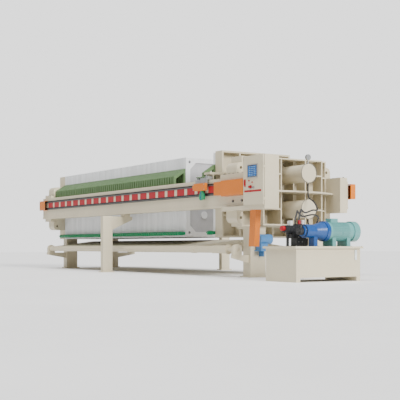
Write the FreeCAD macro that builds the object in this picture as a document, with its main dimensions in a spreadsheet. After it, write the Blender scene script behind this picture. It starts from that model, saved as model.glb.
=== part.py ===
import FreeCAD, Part
import math
import os
import re
import Sketcher

# Plate filter press with a hydraulic closing gear, in millimetres.
# X runs along the press, from the thrust plate (-X) to the cylinders (+X).
# Y runs across it: the near side is -Y. Z is up, and the floor is Z = 0.
# While it is drawn, X = 0 is the front face of the closed stack of filter plates.
# Every finished piece is then moved by frame_shift, so that the origin lies on the
# floor under the middle of the whole machine.

DOC = FreeCAD.newDocument("plate_filter_press")
SHEET = DOC.addObject("Spreadsheet::Sheet", "dims")

DIMENSIONS = [
    # filter plates
    ("plate_side", 1500, "height and width of a square filter plate"),
    ("plate_floor", 700, "height of the plates' lower edge"),
    ("plate_pitch", 90, "thickness of one plate in the closed stack"),
    ("plate_count", 60, "plates in the stack, with the front one"),
    ("plate_chamfer", 5, "chamfer round each plate's rim"),
    ("recess_depth", 22, "depth of a plate's filter chamber"),
    ("recess_margin", 95, "width of the sealing rim"),
    ("recess_corner", 125, "cut corner of the chamber, along each side"),
    ("port_radius", 28, "filtrate hole in each corner"),
    ("port_inset", 82, "distance of a filtrate hole from both edges"),
    ("feed_radius", 62, "feed hole in the middle of a plate"),
    ("stay_radius", 70, "stay boss in the chamber"),
    ("stay_spread", 330, "distance of the stay bosses from the plate's centre lines"),
    # handles and taps on the plates
    ("handle_width", 62, "thickness of a plate handle along the press"),
    ("handle_rest", 65, "how far a handle rests on the beam"),
    ("handle_crest", 20, "flat top of a handle beside the plate"),
    ("handle_root", 45, "thickness of a handle along the plate's edge"),
    ("handle_rise", 317, "height of a handle above the beam"),
    ("handle_shoulder", 160, "height of the handle's outer wall"),
    ("handle_foot", 46, "height of the handle's foot above the beam"),
    ("handle_skin", 42, "thickness of the handle's walls"),
    ("tap_width", 50, "width of a filtrate tap along the press"),
    ("tap_reach", 175, "how far a tap stands out from the plate"),
    ("tap_height", 75, "height of a tap's body"),
    ("tap_lift", 27, "height of the taps above the plates' lower edge"),
    # side beams
    ("beam_half", 1125, "distance of a beam's outer face from the centre plane"),
    ("beam_width", 185, "width of a side beam"),
    ("beam_floor", 1178, "height of a beam's underside"),
    ("beam_height", 492, "height of a side beam"),
    ("beam_tail", 435, "length of the beams behind the stack"),
    ("beam_nose", 2400, "end of the beams on the cylinder side"),
    ("sole_height", 38, "height of the sole plate along a beam"),
    ("sole_proud", 8, "how far the sole plate stands out"),
    ("clamp_thick", 65, "thickness of the clamping plates on a beam's ends"),
    ("clamp_setback", 20, "setback of the clamping plates from the outer face"),
    # chain track on the outer face of a beam
    ("rail_height", 45, "height of a chain rail"),
    ("rail_depth", 30, "depth of a chain rail"),
    ("rail_wall", 5, "wall of a chain rail"),
    ("rail_drop", 70, "distance of the upper rail below the beam's top"),
    ("guard_height", 116, "height of a red guard block"),
    ("guard_length", 240, "length of a guard block"),
    ("guard_pitch", 340, "distance from one guard block to the next"),
    ("guard_count", 21, "guard blocks on one beam"),
    ("guard_proud", 26, "how far a guard block stands out"),
    ("guard_start", -5460, "where the first guard block begins"),
    ("post_proud", 20, "how far the posts between the blocks stand out"),
    ("chain_height", 20, "height of the chain"),
    ("chain_width", 16, "width of the chain"),
    ("chain_gap", 3, "clearance of the chain from the rail's web"),
    ("idler_shaft", -5700, "centre of the chain's return"),
    ("drive_shaft", 2140, "centre of the chain's drive wheel"),
    # orange covers over the ends of the chain track
    ("cover_wall", 4, "sheet of the covers"),
    ("idler_cover_low", -5870, "outer end of the idler cover"),
    ("idler_cover_length", 310, "length of the idler cover"),
    ("idler_cover_depth", 80, "depth of the idler cover"),
    ("drive_cover_low", 1600, "start of the drive cover"),
    ("drive_cover_step", 1840, "step in the drive cover"),
    ("drive_cover_high", 2470, "end of the drive cover"),
    ("drive_cover_depth", 90, "depth of the drive cover's narrow part"),
    ("drive_cover_bulge", 25, "extra depth of its main part"),
    ("cover_lap", 9, "height of a cover past the rails, above and below"),
    ("cover_bulge", 28, "extra height of the drive cover's main part"),
    # thrust plate, moving head and cylinder seat
    ("slab", 60, "solid slab of the three press plates"),
    ("rib", 24, "thickness of the ribs"),
    ("rim", 32, "thickness of the outer flanges"),
    ("thrust_depth", 290, "depth of the thrust plate"),
    ("seat_face", 1725, "front face of the cylinder seat"),
    ("seat_depth", 300, "depth of the cylinder seat"),
    ("seat_half", 592, "half of the cylinder seat's height"),
    ("seat_bay", 295, "height of the seat's ribs from its middle"),
    ("seat_rib_near", 190, "inner upright ribs from the centre plane"),
    ("seat_rib_far", 520, "outer upright ribs from the centre plane"),
    ("ear_height", 200, "height of the ears that grip the beams"),
    ("ear_reach", 100, "how far an ear reaches over a beam"),
    ("ear_round", 90, "rounding of an ear's corner"),
    ("ear_hole", 26, "lifting hole in an ear"),
    ("open_gap", 908, "opening between the stack and the head's plate"),
    ("head_plate_thick", 96, "thickness of the plate on the head"),
    ("head_depth", 211, "depth of the moving head"),
    ("head_lap", 20, "how far the head stands past its plate"),
    ("roller_radius", 45, "head roller"),
    ("roller_width", 50, "width of a head roller"),
    ("roller_inset", 20, "distance of a roller from the beam's inner edge"),
    ("roller_gap", 0.3, "running gap of the rollers over the beam"),
    ("roller_spacing", 104, "distance between the rollers on one side"),
    ("axle_radius", 14, "axle of a head roller"),
    ("arm_thick", 40, "arm that carries the head's rollers"),
    # hydraulic cylinders
    ("cylinder_spread", 300, "height of a cylinder from the middle of the plates"),
    ("cylinder_radius", 150, "outside of a cylinder"),
    ("bore_radius", 122, "bore of a cylinder"),
    ("rod_radius", 108, "piston rod"),
    ("fit_gap", 0.08, "running clearance of rods, pistons and shafts"),
    ("gland_radius", 185, "gland flange of a cylinder"),
    ("gland_length", 125, "length of the gland in front of the seat"),
    ("cylinder_back", 2600, "where the cylinder's tube ends"),
    ("cap_thick", 55, "thickness of the end cap"),
    ("cap_lap", 5, "how far the cap stands past the tube"),
    ("piston_length", 50, "length of a piston"),
    ("piston_end", 2594, "back face of the pistons with the press open"),
    ("head_wall", 40, "thickness of the gland in front of the bore"),
    ("port_boss", 22, "radius of a hose port on a cylinder"),
    ("port_rise", 16, "height of a hose port"),
    ("gauge_radius", 50, "dial of the pressure gauge"),
    ("gauge_height", 112, "height of the dial above the cylinder"),
    ("gauge_thick", 36, "thickness of the gauge"),
    ("stem_radius", 9, "stem of the gauge"),
    ("nut_drop", 3, "how far the gauge's nut reaches down round the cap"),
    # tie plate between the beams
    ("tie_thick", 26, "thickness of the tie plate"),
    ("tie_end", 190, "length of the tie plate at the beams"),
    ("tie_bow", 250, "extra length of the tie plate in the middle"),
    # feet
    ("foot_plate", 20, "thickness of the base plates"),
    ("foot_lap", 35, "how far a base plate stands out"),
    ("thrust_leg_low", 422, "inner face of a thrust plate leg"),
    ("thrust_leg_wide", 278, "width of a thrust plate leg"),
    ("thrust_leg_deep", 190, "depth of a thrust plate leg"),
    ("mid_leg_place", -1930, "place of the middle legs along the press"),
    ("mid_leg_deep", 109, "depth of a middle leg"),
    ("mid_leg_half", 1560, "outer face of a middle leg"),
    ("mid_leg_wide", 210, "width of a middle leg"),
    ("mid_pad", 50, "height of the pad between bracket and beam"),
    ("mid_arm_tip", 60, "depth of the bracket at its tip"),
    ("mid_arm_root", 270, "depth of the bracket at the leg"),
    ("mid_arm_thick", 80, "thickness of the bracket"),
    ("seat_leg_low", 527, "inner face of a seat leg"),
    ("seat_leg_wide", 318, "width of a seat leg"),
    ("seat_leg_place", 1940, "place of the seat legs along the press"),
    ("seat_leg_deep", 210, "depth of a seat leg"),
    ("seat_leg_head", 40, "thickness of the plate on a seat leg"),
    # drip flaps
    ("flap_axis", 1088, "hinge line of a flap from the centre plane"),
    ("flap_height", 470, "height of a flap's hinge line"),
    ("flap_tube", 60, "radius of the torque tube"),
    ("flap_end", 760, "end of a flap on the head side"),
    ("flap_gap", 14, "gap between a flap and the thrust plate's legs"),
    ("flap_sheet", 10, "thickness of a flap"),
    ("flap_ridge", 178, "height of a flap's inner edge above its hinge line"),
    ("flap_split", 44, "gap between the two flaps"),
    ("flap_lip", 50, "fold along a flap's inner edge"),
    ("flap_ribs", 12, "stiffeners under a flap"),
    ("sleeve_radius", 68, "sleeve on the torque tube"),
    ("sleeve_low", 1395, "start of the sleeve"),
    ("sleeve_high", 1840, "end of the sleeve"),
    ("clamp_ring", 130, "length of the clamp ring on the torque tube"),
    ("shaft_radius", 34, "stub shafts of the torque tube"),
    ("shaft_end", 2110, "end of the stub shaft on the cylinder side"),
    ("bearing_radius", 88, "flange bearing"),
    ("bearing_thick", 62, "thickness of a bearing"),
    ("bracket_thick", 30, "thickness of a bearing bracket"),
    # chain-driven plate shifters
    ("shifter_low", 960, "start of a shifter's cover"),
    ("shifter_length", 390, "length of a shifter's cover"),
    ("shifter_depth", 70, "depth of a shifter's cover"),
    ("shifter_gap", 6, "clearance of a shifter from the chain rails"),
    ("shifter_floor", 1486, "height of the cover's underside"),
    ("shifter_height", 130, "height of the cover"),
    ("wheel_radius", 24, "track wheel of a shifter"),
    ("wheel_gap", 0.3, "running gap of the wheels over the rail"),
    ("claw_reach", 60, "how far the claw reaches over the beam"),
    ("claw_thick", 30, "thickness of the claw"),
    ("claw_gap", 10, "clearance of the claw over the beam"),
    ("frame_shift", 836.5, "distance of the stack's front face from the middle of the whole machine"),
    ("valve_place", 3675, "place of the valve block along the press"),
    # control cabinet
    ("cabinet_low", 2475, "left side of the cabinet"),
    ("cabinet_wide", 530, "width of the cabinet"),
    ("cabinet_proud", 90, "how far the cabinet's front rim stands out past the beam"),
    ("cabinet_deep", 290, "depth of the cabinet"),
    ("cabinet_tall", 797, "height of the cabinet"),
    ("cabinet_wall", 8, "folded walls of the cabinet"),
    ("cabinet_seal", 6, "gap behind the door"),
    ("door_thick", 20, "thickness of the door"),
    ("door_gap", 5, "gap round the door"),
    ("hinge_radius", 7, "hinge knuckles"),
    ("hinge_length", 70, "length of a hinge knuckle"),
    ("hinge_offset", 3, "distance of the hinge line past the cabinet's side"),
    ("hinge_inset", 110, "distance of the hinges from the cabinet's ends"),
    ("hinge_play", 2, "play between the knuckles of a hinge"),
    ("hinge_leaf", 4, "thickness of a hinge leaf"),
    ("hinge_grip", 30, "length of a hinge leaf on the cabinet's side"),
    ("screen_wide", 260, "width of the touch screen"),
    ("screen_tall", 205, "height of the touch screen"),
    ("screen_proud", 12, "how far the screen stands out"),
    ("button_radius", 20, "stop button"),
    ("lamp_radius", 12, "signal lamp"),
    ("shelf_low", 1850, "start of the shelf under the cabinet"),
    ("duct_low", 2463, "left side of the cable duct"),
    ("duct_wide", 157, "width of the cable duct"),
    ("duct_deep", 102, "depth of the cable duct"),
    ("duct_slant", 42, "offset of the duct's lower end"),
    ("duct_floor", 519, "height of the duct's lower end"),
    # flap drive
    ("gearmotor_radius", 84, "motor of the flap drive"),
    ("gearbox_side", 140, "gearbox of the flap drive"),
    ("gearbox_height", 110, "height of the gearbox"),
    ("console_height", 440, "height of the flap drive's console"),
    # hydraulic unit
    ("tank_low", 3450, "near end of the tank along the press"),
    ("tank_deep", 707, "size of the tank along the press"),
    ("tank_near", 1536, "near face of the tank from the centre plane"),
    ("tank_wide", 1254, "length of the tank across the press"),
    ("tank_top", 489, "height of the tank's walls"),
    ("tank_skid", 66, "height of the skids"),
    ("tank_wall", 8, "wall of the tank"),
    ("skid_wide", 75, "width of a skid"),
    ("lid_thick", 32, "height of the lid"),
    ("lid_lap", 40, "overhang of the lid"),
    ("motor_axis", 745, "height of the pump's axis"),
    ("motor_place", 3975, "place of the pump's axis along the press"),
    ("motor_radius", 140, "motor body"),
    ("motor_low", -833, "where the motor meets the bell housing"),
    ("motor_length", 480, "length of the motor body"),
    ("fan_length", 110, "length of the fan cover"),
    ("fan_radius", 156, "radius of the fan cover"),
    ("bell_length", 407, "length of the bell housing"),
    ("bell_neck", 100, "radius of the bell housing's narrow end"),
    ("bell_flange", 152, "radius of the bell housing's flange"),
    ("fitting_radius", 15, "hose fittings on the valve block"),
    ("fitting_length", 60, "length of a hose fitting"),
    ("fitting_rise", 394, "height of the hose fittings' knees above the tank's lid"),
    ("fitting_upper", -1060, "place of the upper cylinder's hose fitting across the press"),
    ("fitting_lower", -1125, "place of the lower cylinder's hose fitting across the press"),
    ("hose_radius", 13, "outside of a hydraulic hose"),
]

CELLS = {}
for line, (alias, amount, meaning) in enumerate(DIMENSIONS, start=1):
    SHEET.set(f"A{line}", meaning)
    SHEET.set(f"B{line}", str(amount))
    SHEET.setAlias(f"B{line}", alias)
    CELLS[alias] = amount
DOC.recompute()

# Places that several sub-parts share, as expressions of the sheet's cells.
PACK_BACK = "(-plate_pitch * plate_count)"
PLATE_MID = "(plate_floor + plate_side / 2)"
PLATE_TOP = "(plate_floor + plate_side)"
BEAM_BACK = "(-plate_pitch * plate_count - beam_tail)"
BEAM_TOP = "(beam_floor + beam_height)"
BEAM_INNER = "(beam_half - beam_width)"
RAIL_UPPER = "(beam_floor + beam_height - rail_drop - rail_height)"
GUARD_FLOOR = "(beam_floor + beam_height - rail_drop - rail_height - guard_height)"
RAIL_LOWER = "(beam_floor + beam_height - rail_drop - 2 * rail_height - guard_height)"
CLAMP_TOP = "(beam_floor + beam_height + clamp_thick)"
CLAMP_FLOOR = "(beam_floor - clamp_thick)"
CABINET_FRONT = "(beam_half + cabinet_proud)"
THRUST_BACK = "(-plate_pitch * plate_count - thrust_depth)"
HEAD_FACE = "(open_gap + head_plate_thick)"
HEAD_BACK = "(open_gap + head_plate_thick + head_depth)"
SEAT_BACK = "(seat_face + seat_depth)"
SEAT_FLOOR = "(plate_floor + plate_side / 2 - seat_half)"
CYLINDER_UPPER = "(plate_floor + plate_side / 2 + cylinder_spread)"
CYLINDER_LOWER = "(plate_floor + plate_side / 2 - cylinder_spread)"
RAIL_FACE = "(beam_half + rail_depth)"
LID_TOP = "(tank_top + lid_thick)"

AXIS_TURN = {
    "X": FreeCAD.Rotation(FreeCAD.Vector(0, 1, 0), 90),
    "Y": FreeCAD.Rotation(FreeCAD.Vector(1, 0, 0), -90),
    "Z": FreeCAD.Rotation(),
}
PLANE_ROLE = {"XY": "XY_Plane", "XZ": "XZ_Plane", "YZ": "YZ_Plane"}
SUBPARTS = []


def formula(text):
    """An expression with every cell's alias given its sheet."""
    return re.sub(r"[a-z_]+", lambda word: f"dims.{word[0]}" if word[0] in CELLS else word[0], str(text))


def bind(thing, prop, text):
    thing.setExpression(prop, formula(text))


def value(text):
    """The number that an expression of the sheet's cells gives."""
    return float(SHEET.evalExpression(formula(text)))


def place(thing, low, turn="Z"):
    thing.Placement = FreeCAD.Placement(FreeCAD.Vector(), AXIS_TURN[turn])
    for axis, text in zip("xyz", low):
        bind(thing, f"Placement.Base.{axis}", text)
    return thing


def block(name, low, size):
    box = DOC.addObject("Part::Box", name)
    for prop, text in zip(("Length", "Width", "Height"), size):
        bind(box, prop, text)
    return place(box, low)


def rod(name, axis, start, length, radius):
    """A cylinder that runs from start along +axis."""
    bar = DOC.addObject("Part::Cylinder", name)
    bind(bar, "Height", length)
    bind(bar, "Radius", radius)
    return place(bar, start, axis)


def cone(name, axis, start, length, radius, end_radius):
    horn = DOC.addObject("Part::Cone", name)
    bind(horn, "Height", length)
    bind(horn, "Radius1", radius)
    bind(horn, "Radius2", end_radius)
    return place(horn, start, axis)


def fuse(name, things):
    whole = DOC.addObject("Part::MultiFuse", name)
    whole.Shapes = things
    whole.Refine = True
    return whole


def cut(name, base, tools):
    result = DOC.addObject("Part::Cut", name)
    result.Base = base
    result.Tool = tools[0] if len(tools) == 1 else fuse(f"{name}_tools", tools)
    result.Refine = True
    return result


def compound(name, things):
    """Like pieces that don't touch, kept together as one sub-part."""
    batch = DOC.addObject("Part::Compound", name)
    batch.Links = things
    return batch


def mirror(name, source):
    """The same piece on the other side of the press."""
    twin = DOC.addObject("Part::Mirroring", name)
    twin.Source = source
    twin.Normal = (0, 1, 0)
    return twin


def pair(name, near):
    """A near piece and its mirror image as one sub-part."""
    return compound(name, [near, mirror(f"{name}_far", near)])


def subpart(name, thing, shifted=False):
    """Labels a finished piece and moves it into the machine's own frame."""
    if thing.TypeId == "Part::Box":
        thing = compound(f"{name}_piece", [thing])
    thing.Label = name
    if not shifted:
        bind(thing, "Placement.Base.x", "frame_shift")
    SUBPARTS.append(thing)
    return thing


def origin_plane(body, plane):
    for feature in body.Origin.OriginFeatures:
        if feature.Role == PLANE_ROLE.get(plane, plane):
            return feature
    raise ValueError(plane)


def new_body(name):
    return DOC.addObject("PartDesign::Body", name)


def new_sketch(body, name, plane, start):
    """A sketch on an origin plane, moved along +X, +Y or +Z by start."""
    sketch = body.newObject("Sketcher::SketchObject", name)
    sketch.AttachmentSupport = [(origin_plane(body, plane), "")]
    sketch.MapMode = "FlatFace"
    sign = "-" if plane == "XZ" else ""
    bind(sketch, "AttachmentOffset.Base.z", f"{sign}({start})")
    return sketch


def pin_point(sketch, edge, point):
    for kind, text in zip(("DistanceX", "DistanceY"), point):
        row = sketch.addConstraint(Sketcher.Constraint(kind, -1, 1, edge, 1, value(text)))
        bind(sketch, f"Constraints[{row}]", text)


def draw_outline(sketch, points):
    """A closed outline of straight lines with every corner held by the sheet."""
    first = sketch.GeometryCount
    spots = [FreeCAD.Vector(value(u), value(v), 0) for u, v in points]
    count = len(points)
    for index in range(count):
        sketch.addGeometry(Part.LineSegment(spots[index], spots[(index + 1) % count]), False)
    for index in range(count):
        ends = (first + index, 2, first + (index + 1) % count, 1)
        sketch.addConstraint(Sketcher.Constraint("Coincident", *ends))
    for index, point in enumerate(points):
        pin_point(sketch, first + index, point)


def draw_circle(sketch, centre, radius):
    spot = FreeCAD.Vector(value(centre[0]), value(centre[1]), 0)
    edge = sketch.addGeometry(Part.Circle(spot, FreeCAD.Vector(0, 0, 1), value(radius)), False)
    for kind, text in zip(("DistanceX", "DistanceY"), centre):
        row = sketch.addConstraint(Sketcher.Constraint(kind, -1, 1, edge, 3, value(text)))
        bind(sketch, f"Constraints[{row}]", text)
    row = sketch.addConstraint(Sketcher.Constraint("Radius", edge, value(radius)))
    bind(sketch, f"Constraints[{row}]", radius)


def pad(body, name, plane, start, length, points):
    """Pads an outline from start towards +X, +Y or +Z."""
    sketch = new_sketch(body, f"{name}_outline", plane, start)
    draw_outline(sketch, points)
    feature = body.newObject("PartDesign::Pad", name)
    feature.Profile = sketch
    bind(feature, "Length", length)
    feature.Reversed = plane == "XZ"
    return feature


def pocket(body, name, plane, start, depth, towards_plus, outlines=(), circles=()):
    """Cuts outlines and circles into a body, and checks that they took something away."""
    DOC.recompute()
    before = body.Shape.Volume
    sketch = new_sketch(body, f"{name}_outline", plane, start)
    for points in outlines:
        draw_outline(sketch, points)
    for centre, radius in circles:
        draw_circle(sketch, centre, radius)
    feature = body.newObject("PartDesign::Pocket", name)
    feature.Profile = sketch
    bind(feature, "Length", depth)
    feature.Reversed = towards_plus != (plane == "XZ")
    DOC.recompute()
    if body.Shape.Volume > before - 1:
        raise RuntimeError(f"{name} cuts nothing")
    return feature


def repeat(body, name, feature, axis, pitch, count):
    """Copies a feature along an origin axis, count times in all."""
    pattern = body.newObject("PartDesign::LinearPattern", name)
    pattern.Originals = [feature]
    pattern.Direction = (origin_plane(body, f"{axis}_Axis"), [""])
    bind(pattern, "Length", f"({pitch}) * (({count}) - 1)")
    bind(pattern, "Occurrences", count)
    body.Tip = pattern
    return pattern


def prism(name, plane, start, length, points):
    body = new_body(name)
    pad(body, f"{name}_pad", plane, start, length, points)
    return body


def edges_along(shape, axis, test=lambda edge: True):
    """Names of the straight edges that run along an axis and pass a test."""
    direction = {"X": FreeCAD.Vector(1, 0, 0), "Y": FreeCAD.Vector(0, 1, 0), "Z": FreeCAD.Vector(0, 0, 1)}[axis]
    names = []
    for index, edge in enumerate(shape.Edges, start=1):
        straight = isinstance(edge.Curve, Part.Line)
        if straight and abs(edge.tangentAt(edge.FirstParameter).dot(direction)) > 0.999 and test(edge):
            names.append(f"Edge{index}")
    return names


def round_edges(body, name, base, radius, names, kind="PartDesign::Fillet"):
    feature = body.newObject(kind, name)
    feature.Base = (base, names)
    bind(feature, "Radius" if kind.endswith("Fillet") else "Size", radius)
    return feature


def rounded_block(name, axis, low, size, radius):
    """A box whose four edges along one axis are rounded."""
    body = new_body(name)
    (x, y, z), (dx, dy, dz) = low, size
    spans = {
        "X": ("YZ", x, dx, (y, z), (dy, dz)),
        "Y": ("XZ", y, dy, (x, z), (dx, dz)),
        "Z": ("XY", z, dz, (x, y), (dx, dy)),
    }
    plane, start, length, (u, v), (du, dv) = spans[axis]
    corners = [(u, v), (f"{u} + {du}", v), (f"{u} + {du}", f"{v} + {dv}"), (u, f"{v} + {dv}")]
    base = pad(body, f"{name}_pad", plane, start, length, corners)
    DOC.recompute()
    round_edges(body, f"{name}_round", base, radius, edges_along(base.Shape, axis))
    return body


def square(half):
    """Corners of a centred square plate of the given half width, in Y and Z."""
    low = f"{PLATE_MID} - ({half})"
    high = f"{PLATE_MID} + ({half})"
    return [(f"-({half})", low), (half, low), (half, high), (f"-({half})", high)]


def ribbed(name, outline, start, depth, open_high, ribs_y, ribs_z, wall):
    """A welded press plate: a slab with a grid of ribs that is open on one side."""
    solid = prism(f"{name}_mass", "YZ", start, depth, outline)
    pocket_low = f"{start} + slab" if open_high else start
    cells = []
    for row in range(len(ribs_z) - 1):
        for column in range(len(ribs_y) - 1):
            low_y, high_y = ribs_y[column], ribs_y[column + 1]
            low_z, high_z = ribs_z[row], ribs_z[row + 1]
            low = (pocket_low, f"{low_y} + {wall} / 2", f"{low_z} + {wall} / 2")
            size = (f"{depth} - slab", f"{high_y} - ({low_y}) - {wall}", f"{high_z} - ({low_z}) - {wall}")
            cells.append(block(f"{name}_cell_{row}_{column}", low, size))
    return cut(f"{name}_ribs", solid, cells)


def gripping_outline(half_width, low, high, root):
    """Outline in Y and Z of a press plate whose ears grip both beams."""
    reach = f"{BEAM_INNER} + ear_reach"
    ear_low, ear_high = f"{CLAMP_FLOOR} - ear_height", f"{CLAMP_TOP} + ear_height"
    right = [
        (half_width, low), (half_width, ear_low), (reach, ear_low), (reach, CLAMP_FLOOR),
        (root, CLAMP_FLOOR), (root, CLAMP_TOP), (reach, CLAMP_TOP), (reach, ear_high),
        (half_width, ear_high), (half_width, high),
    ]
    left = [(f"-({y})", z) for y, z in reversed(right)]
    return right + left


def round_ears(name, plate, start, depth):
    """Rounds the ears' outer corners and bores a lifting hole through each ear."""
    tools = []
    reach = f"{BEAM_INNER} + ear_reach"
    for side, sign in (("near", "-"), ("far", "")):
        for level, edge, inward in (("upper", f"{CLAMP_TOP} + ear_height", -1), ("lower", f"{CLAMP_FLOOR} - ear_height", 1)):
            corner_z = f"{edge} - ear_round" if inward < 0 else edge
            corner_y = f"{reach} - ear_round" if sign == "" else f"-({reach})"
            centre = (start, f"{sign}({reach} - ear_round)", f"{edge} + {inward} * ear_round")
            tag = f"{name}_{side}_{level}"
            corner = block(f"{tag}_corner", (start, corner_y, corner_z), (depth, "ear_round", "ear_round"))
            keep = rod(f"{tag}_keep", "X", centre, depth, "ear_round")
            tools.append(cut(f"{tag}_shaving", corner, [keep]))
            hole = (start, centre[1], centre[2])
            tools.append(rod(f"{tag}_hole", "X", hole, depth, "ear_hole"))
    return cut(name, plate, tools)


# ---------------------------------------------------------------- side beams
def side_beam(side):
    low_y = "-beam_half"
    bar = block(f"beam_{side}_box", (BEAM_BACK, low_y, "beam_floor"),
                (f"beam_nose - {BEAM_BACK}", "beam_width", "beam_height"))
    sole = block(f"beam_{side}_sole", (BEAM_BACK, "-beam_half - sole_proud", "beam_floor"),
                 (f"beam_nose - {BEAM_BACK}", "beam_width + sole_proud", "sole_height"))
    pieces = [bar, sole]
    for index in range(int(CELLS["guard_count"]) - 1):
        low = (f"guard_start + guard_length + {index} * guard_pitch", "-beam_half - post_proud", GUARD_FLOOR)
        size = ("guard_pitch - guard_length", "post_proud", "guard_height")
        pieces.append(block(f"beam_{side}_post_{index}", low, size))
    return fuse(f"beam_{side}_solid", pieces)


beam_near = subpart("beam_near", side_beam("near"))
beam_far = subpart("beam_far", mirror("beam_far_solid", beam_near), True)


def beam_clamps():
    """Clamping plates on top of and under one beam's ends, where the thrust plate and the seat grip it."""
    plates = []
    spans = [("back", f"{THRUST_BACK} - 60", "thrust_depth + 50"), ("nose", "seat_face - 85", "beam_nose - seat_face + 85")]
    for tag, start, length in spans:
        for level, height in (("top", BEAM_TOP), ("bottom", CLAMP_FLOOR)):
            low = (start, "-beam_half + clamp_setback", height)
            plates.append(block(f"clamp_{tag}_{level}", low, (length, "beam_width - clamp_setback", "clamp_thick")))
    return compound("beam_clamps_near", plates)


subpart("beam_clamps", pair("beam_clamps_pair", beam_clamps()))


# --------------------------------------------------------------- chain track
def chain_rail(name, floor):
    """A channel that opens outwards, along the outer face of the near beam."""
    back, front = "-beam_half", "-beam_half - rail_depth"
    web = "-beam_half - rail_wall"
    points = [
        (back, floor), (front, floor), (front, f"{floor} + rail_wall"), (web, f"{floor} + rail_wall"),
        (web, f"{floor} + rail_height - rail_wall"), (front, f"{floor} + rail_height - rail_wall"),
        (front, f"{floor} + rail_height"), (back, f"{floor} + rail_height"),
    ]
    return prism(name, "YZ", "idler_shaft", "drive_cover_step - idler_shaft", points)


rails_near = compound("rails_near", [chain_rail("rail_upper", RAIL_UPPER), chain_rail("rail_lower", RAIL_LOWER)])
subpart("chain_rails", pair("chain_rails_pair", rails_near))


def guard_row():
    body = new_body("guard_row")
    corners = [
        ("guard_start", GUARD_FLOOR), ("guard_start + guard_length", GUARD_FLOOR),
        ("guard_start + guard_length", f"{GUARD_FLOOR} + guard_height"), ("guard_start", f"{GUARD_FLOOR} + guard_height"),
    ]
    first = pad(body, "guard_block", "XZ", "-beam_half - guard_proud", "guard_proud", corners)
    repeat(body, "guard_pattern", first, "X", "guard_pitch", "guard_count")
    return body


subpart("guard_blocks", pair("guard_blocks_pair", guard_row()))


def chain_loop():
    """The chain as one fixed loop: both strands lie on their rails."""
    strand = f"({RAIL_LOWER} + rail_wall)"
    spread = f"({RAIL_UPPER} - {RAIL_LOWER} + chain_height)"
    low_y = "-beam_half - rail_wall - chain_gap - chain_width"
    middle = f"{strand} + {spread} / 2"

    def stadium(name, inset):
        radius = f"{spread} / 2 - {inset}"
        flat = block(f"{name}_flat", ("idler_shaft", low_y, f"{strand} + {inset}"),
                     ("drive_shaft - idler_shaft", "chain_width", f"{spread} - 2 * {inset}"))
        back = rod(f"{name}_back", "Y", ("idler_shaft", low_y, middle), "chain_width", radius)
        nose = rod(f"{name}_nose", "Y", ("drive_shaft", low_y, middle), "chain_width", radius)
        return fuse(name, [flat, back, nose])

    return cut("chain_loop", stadium("chain_outside", "0"), [stadium("chain_inside", "chain_height")])


subpart("drive_chains", pair("drive_chains_pair", chain_loop()))


def idler_cover():
    """A sheet cover that is open to the beam and to the track."""
    floor, top = f"({RAIL_LOWER} - cover_lap)", f"({RAIL_UPPER} + rail_height + cover_lap)"
    outside = rounded_block("idler_cover_outside", "X",
                            ("idler_cover_low", "-beam_half - idler_cover_depth", floor),
                            ("idler_cover_length", "idler_cover_depth + 30", f"{top} - {floor}"), "14")
    inside = block("idler_cover_inside",
                   ("idler_cover_low + cover_wall", "-beam_half - idler_cover_depth + cover_wall", f"{floor} + cover_wall"),
                   ("idler_cover_length", "idler_cover_depth + 30", f"{top} - {floor} - 2 * cover_wall"))
    trim = block("idler_cover_trim", ("idler_cover_low", "-beam_half", floor), ("idler_cover_length", "60", f"{top} - {floor}"))
    return cut("idler_cover", outside, [inside, trim])


subpart("idler_covers", pair("idler_covers_pair", idler_cover()))


def drive_cover():
    """A stepped sheet cover over the chain's drive wheel, open to the beam."""
    floor, top = f"({RAIL_LOWER} - cover_lap)", f"({RAIL_UPPER} + rail_height + cover_lap)"
    wall = "cover_wall"
    neck = block("drive_cover_neck", ("drive_cover_low", "-beam_half - drive_cover_depth", floor),
                 ("drive_cover_step - drive_cover_low + 10", "drive_cover_depth", f"{top} - {floor}"))
    depth = "(drive_cover_depth + drive_cover_bulge)"
    main = rounded_block("drive_cover_main", "X",
                         ("drive_cover_step", f"-beam_half - {depth}", f"{floor} - cover_bulge"),
                         ("drive_cover_high - drive_cover_step", f"{depth} + 30", f"{top} - {floor} + 1.5 * cover_bulge"), "18")
    neck_inside = block("drive_cover_neck_inside",
                        ("drive_cover_low - 5", f"-beam_half - drive_cover_depth + {wall}", f"{floor} + {wall}"),
                        ("drive_cover_step - drive_cover_low + 40", "drive_cover_depth + 10", f"{top} - {floor} - 2 * {wall}"))
    main_inside = block("drive_cover_main_inside",
                        (f"drive_cover_step + {wall}", f"-beam_half - {depth} + {wall}", f"{floor} - cover_bulge + {wall}"),
                        (f"drive_cover_high - drive_cover_step - 2 * {wall}", f"{depth} + 40",
                         f"{top} - {floor} + 1.5 * cover_bulge - 2 * {wall}"))
    trim = block("drive_cover_trim", ("drive_cover_step - 10", "-beam_half", f"{floor} - cover_bulge - 10"),
                 ("drive_cover_high - drive_cover_step + 20", "60", f"{top} - {floor} + 2 * cover_bulge + 20"))
    outside = fuse("drive_cover_outside", [neck, main])
    return cut("drive_cover", outside, [neck_inside, main_inside, trim])


subpart("drive_covers", pair("drive_covers_pair", drive_cover()))


# -------------------------------------------------------------- thrust plate
def even_ribs(low, high, bays):
    """Rib centres that divide a width into equal bays."""
    return [f"({low}) + (({high}) - ({low})) * {index} / {bays}" for index in range(bays + 1)]


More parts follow.
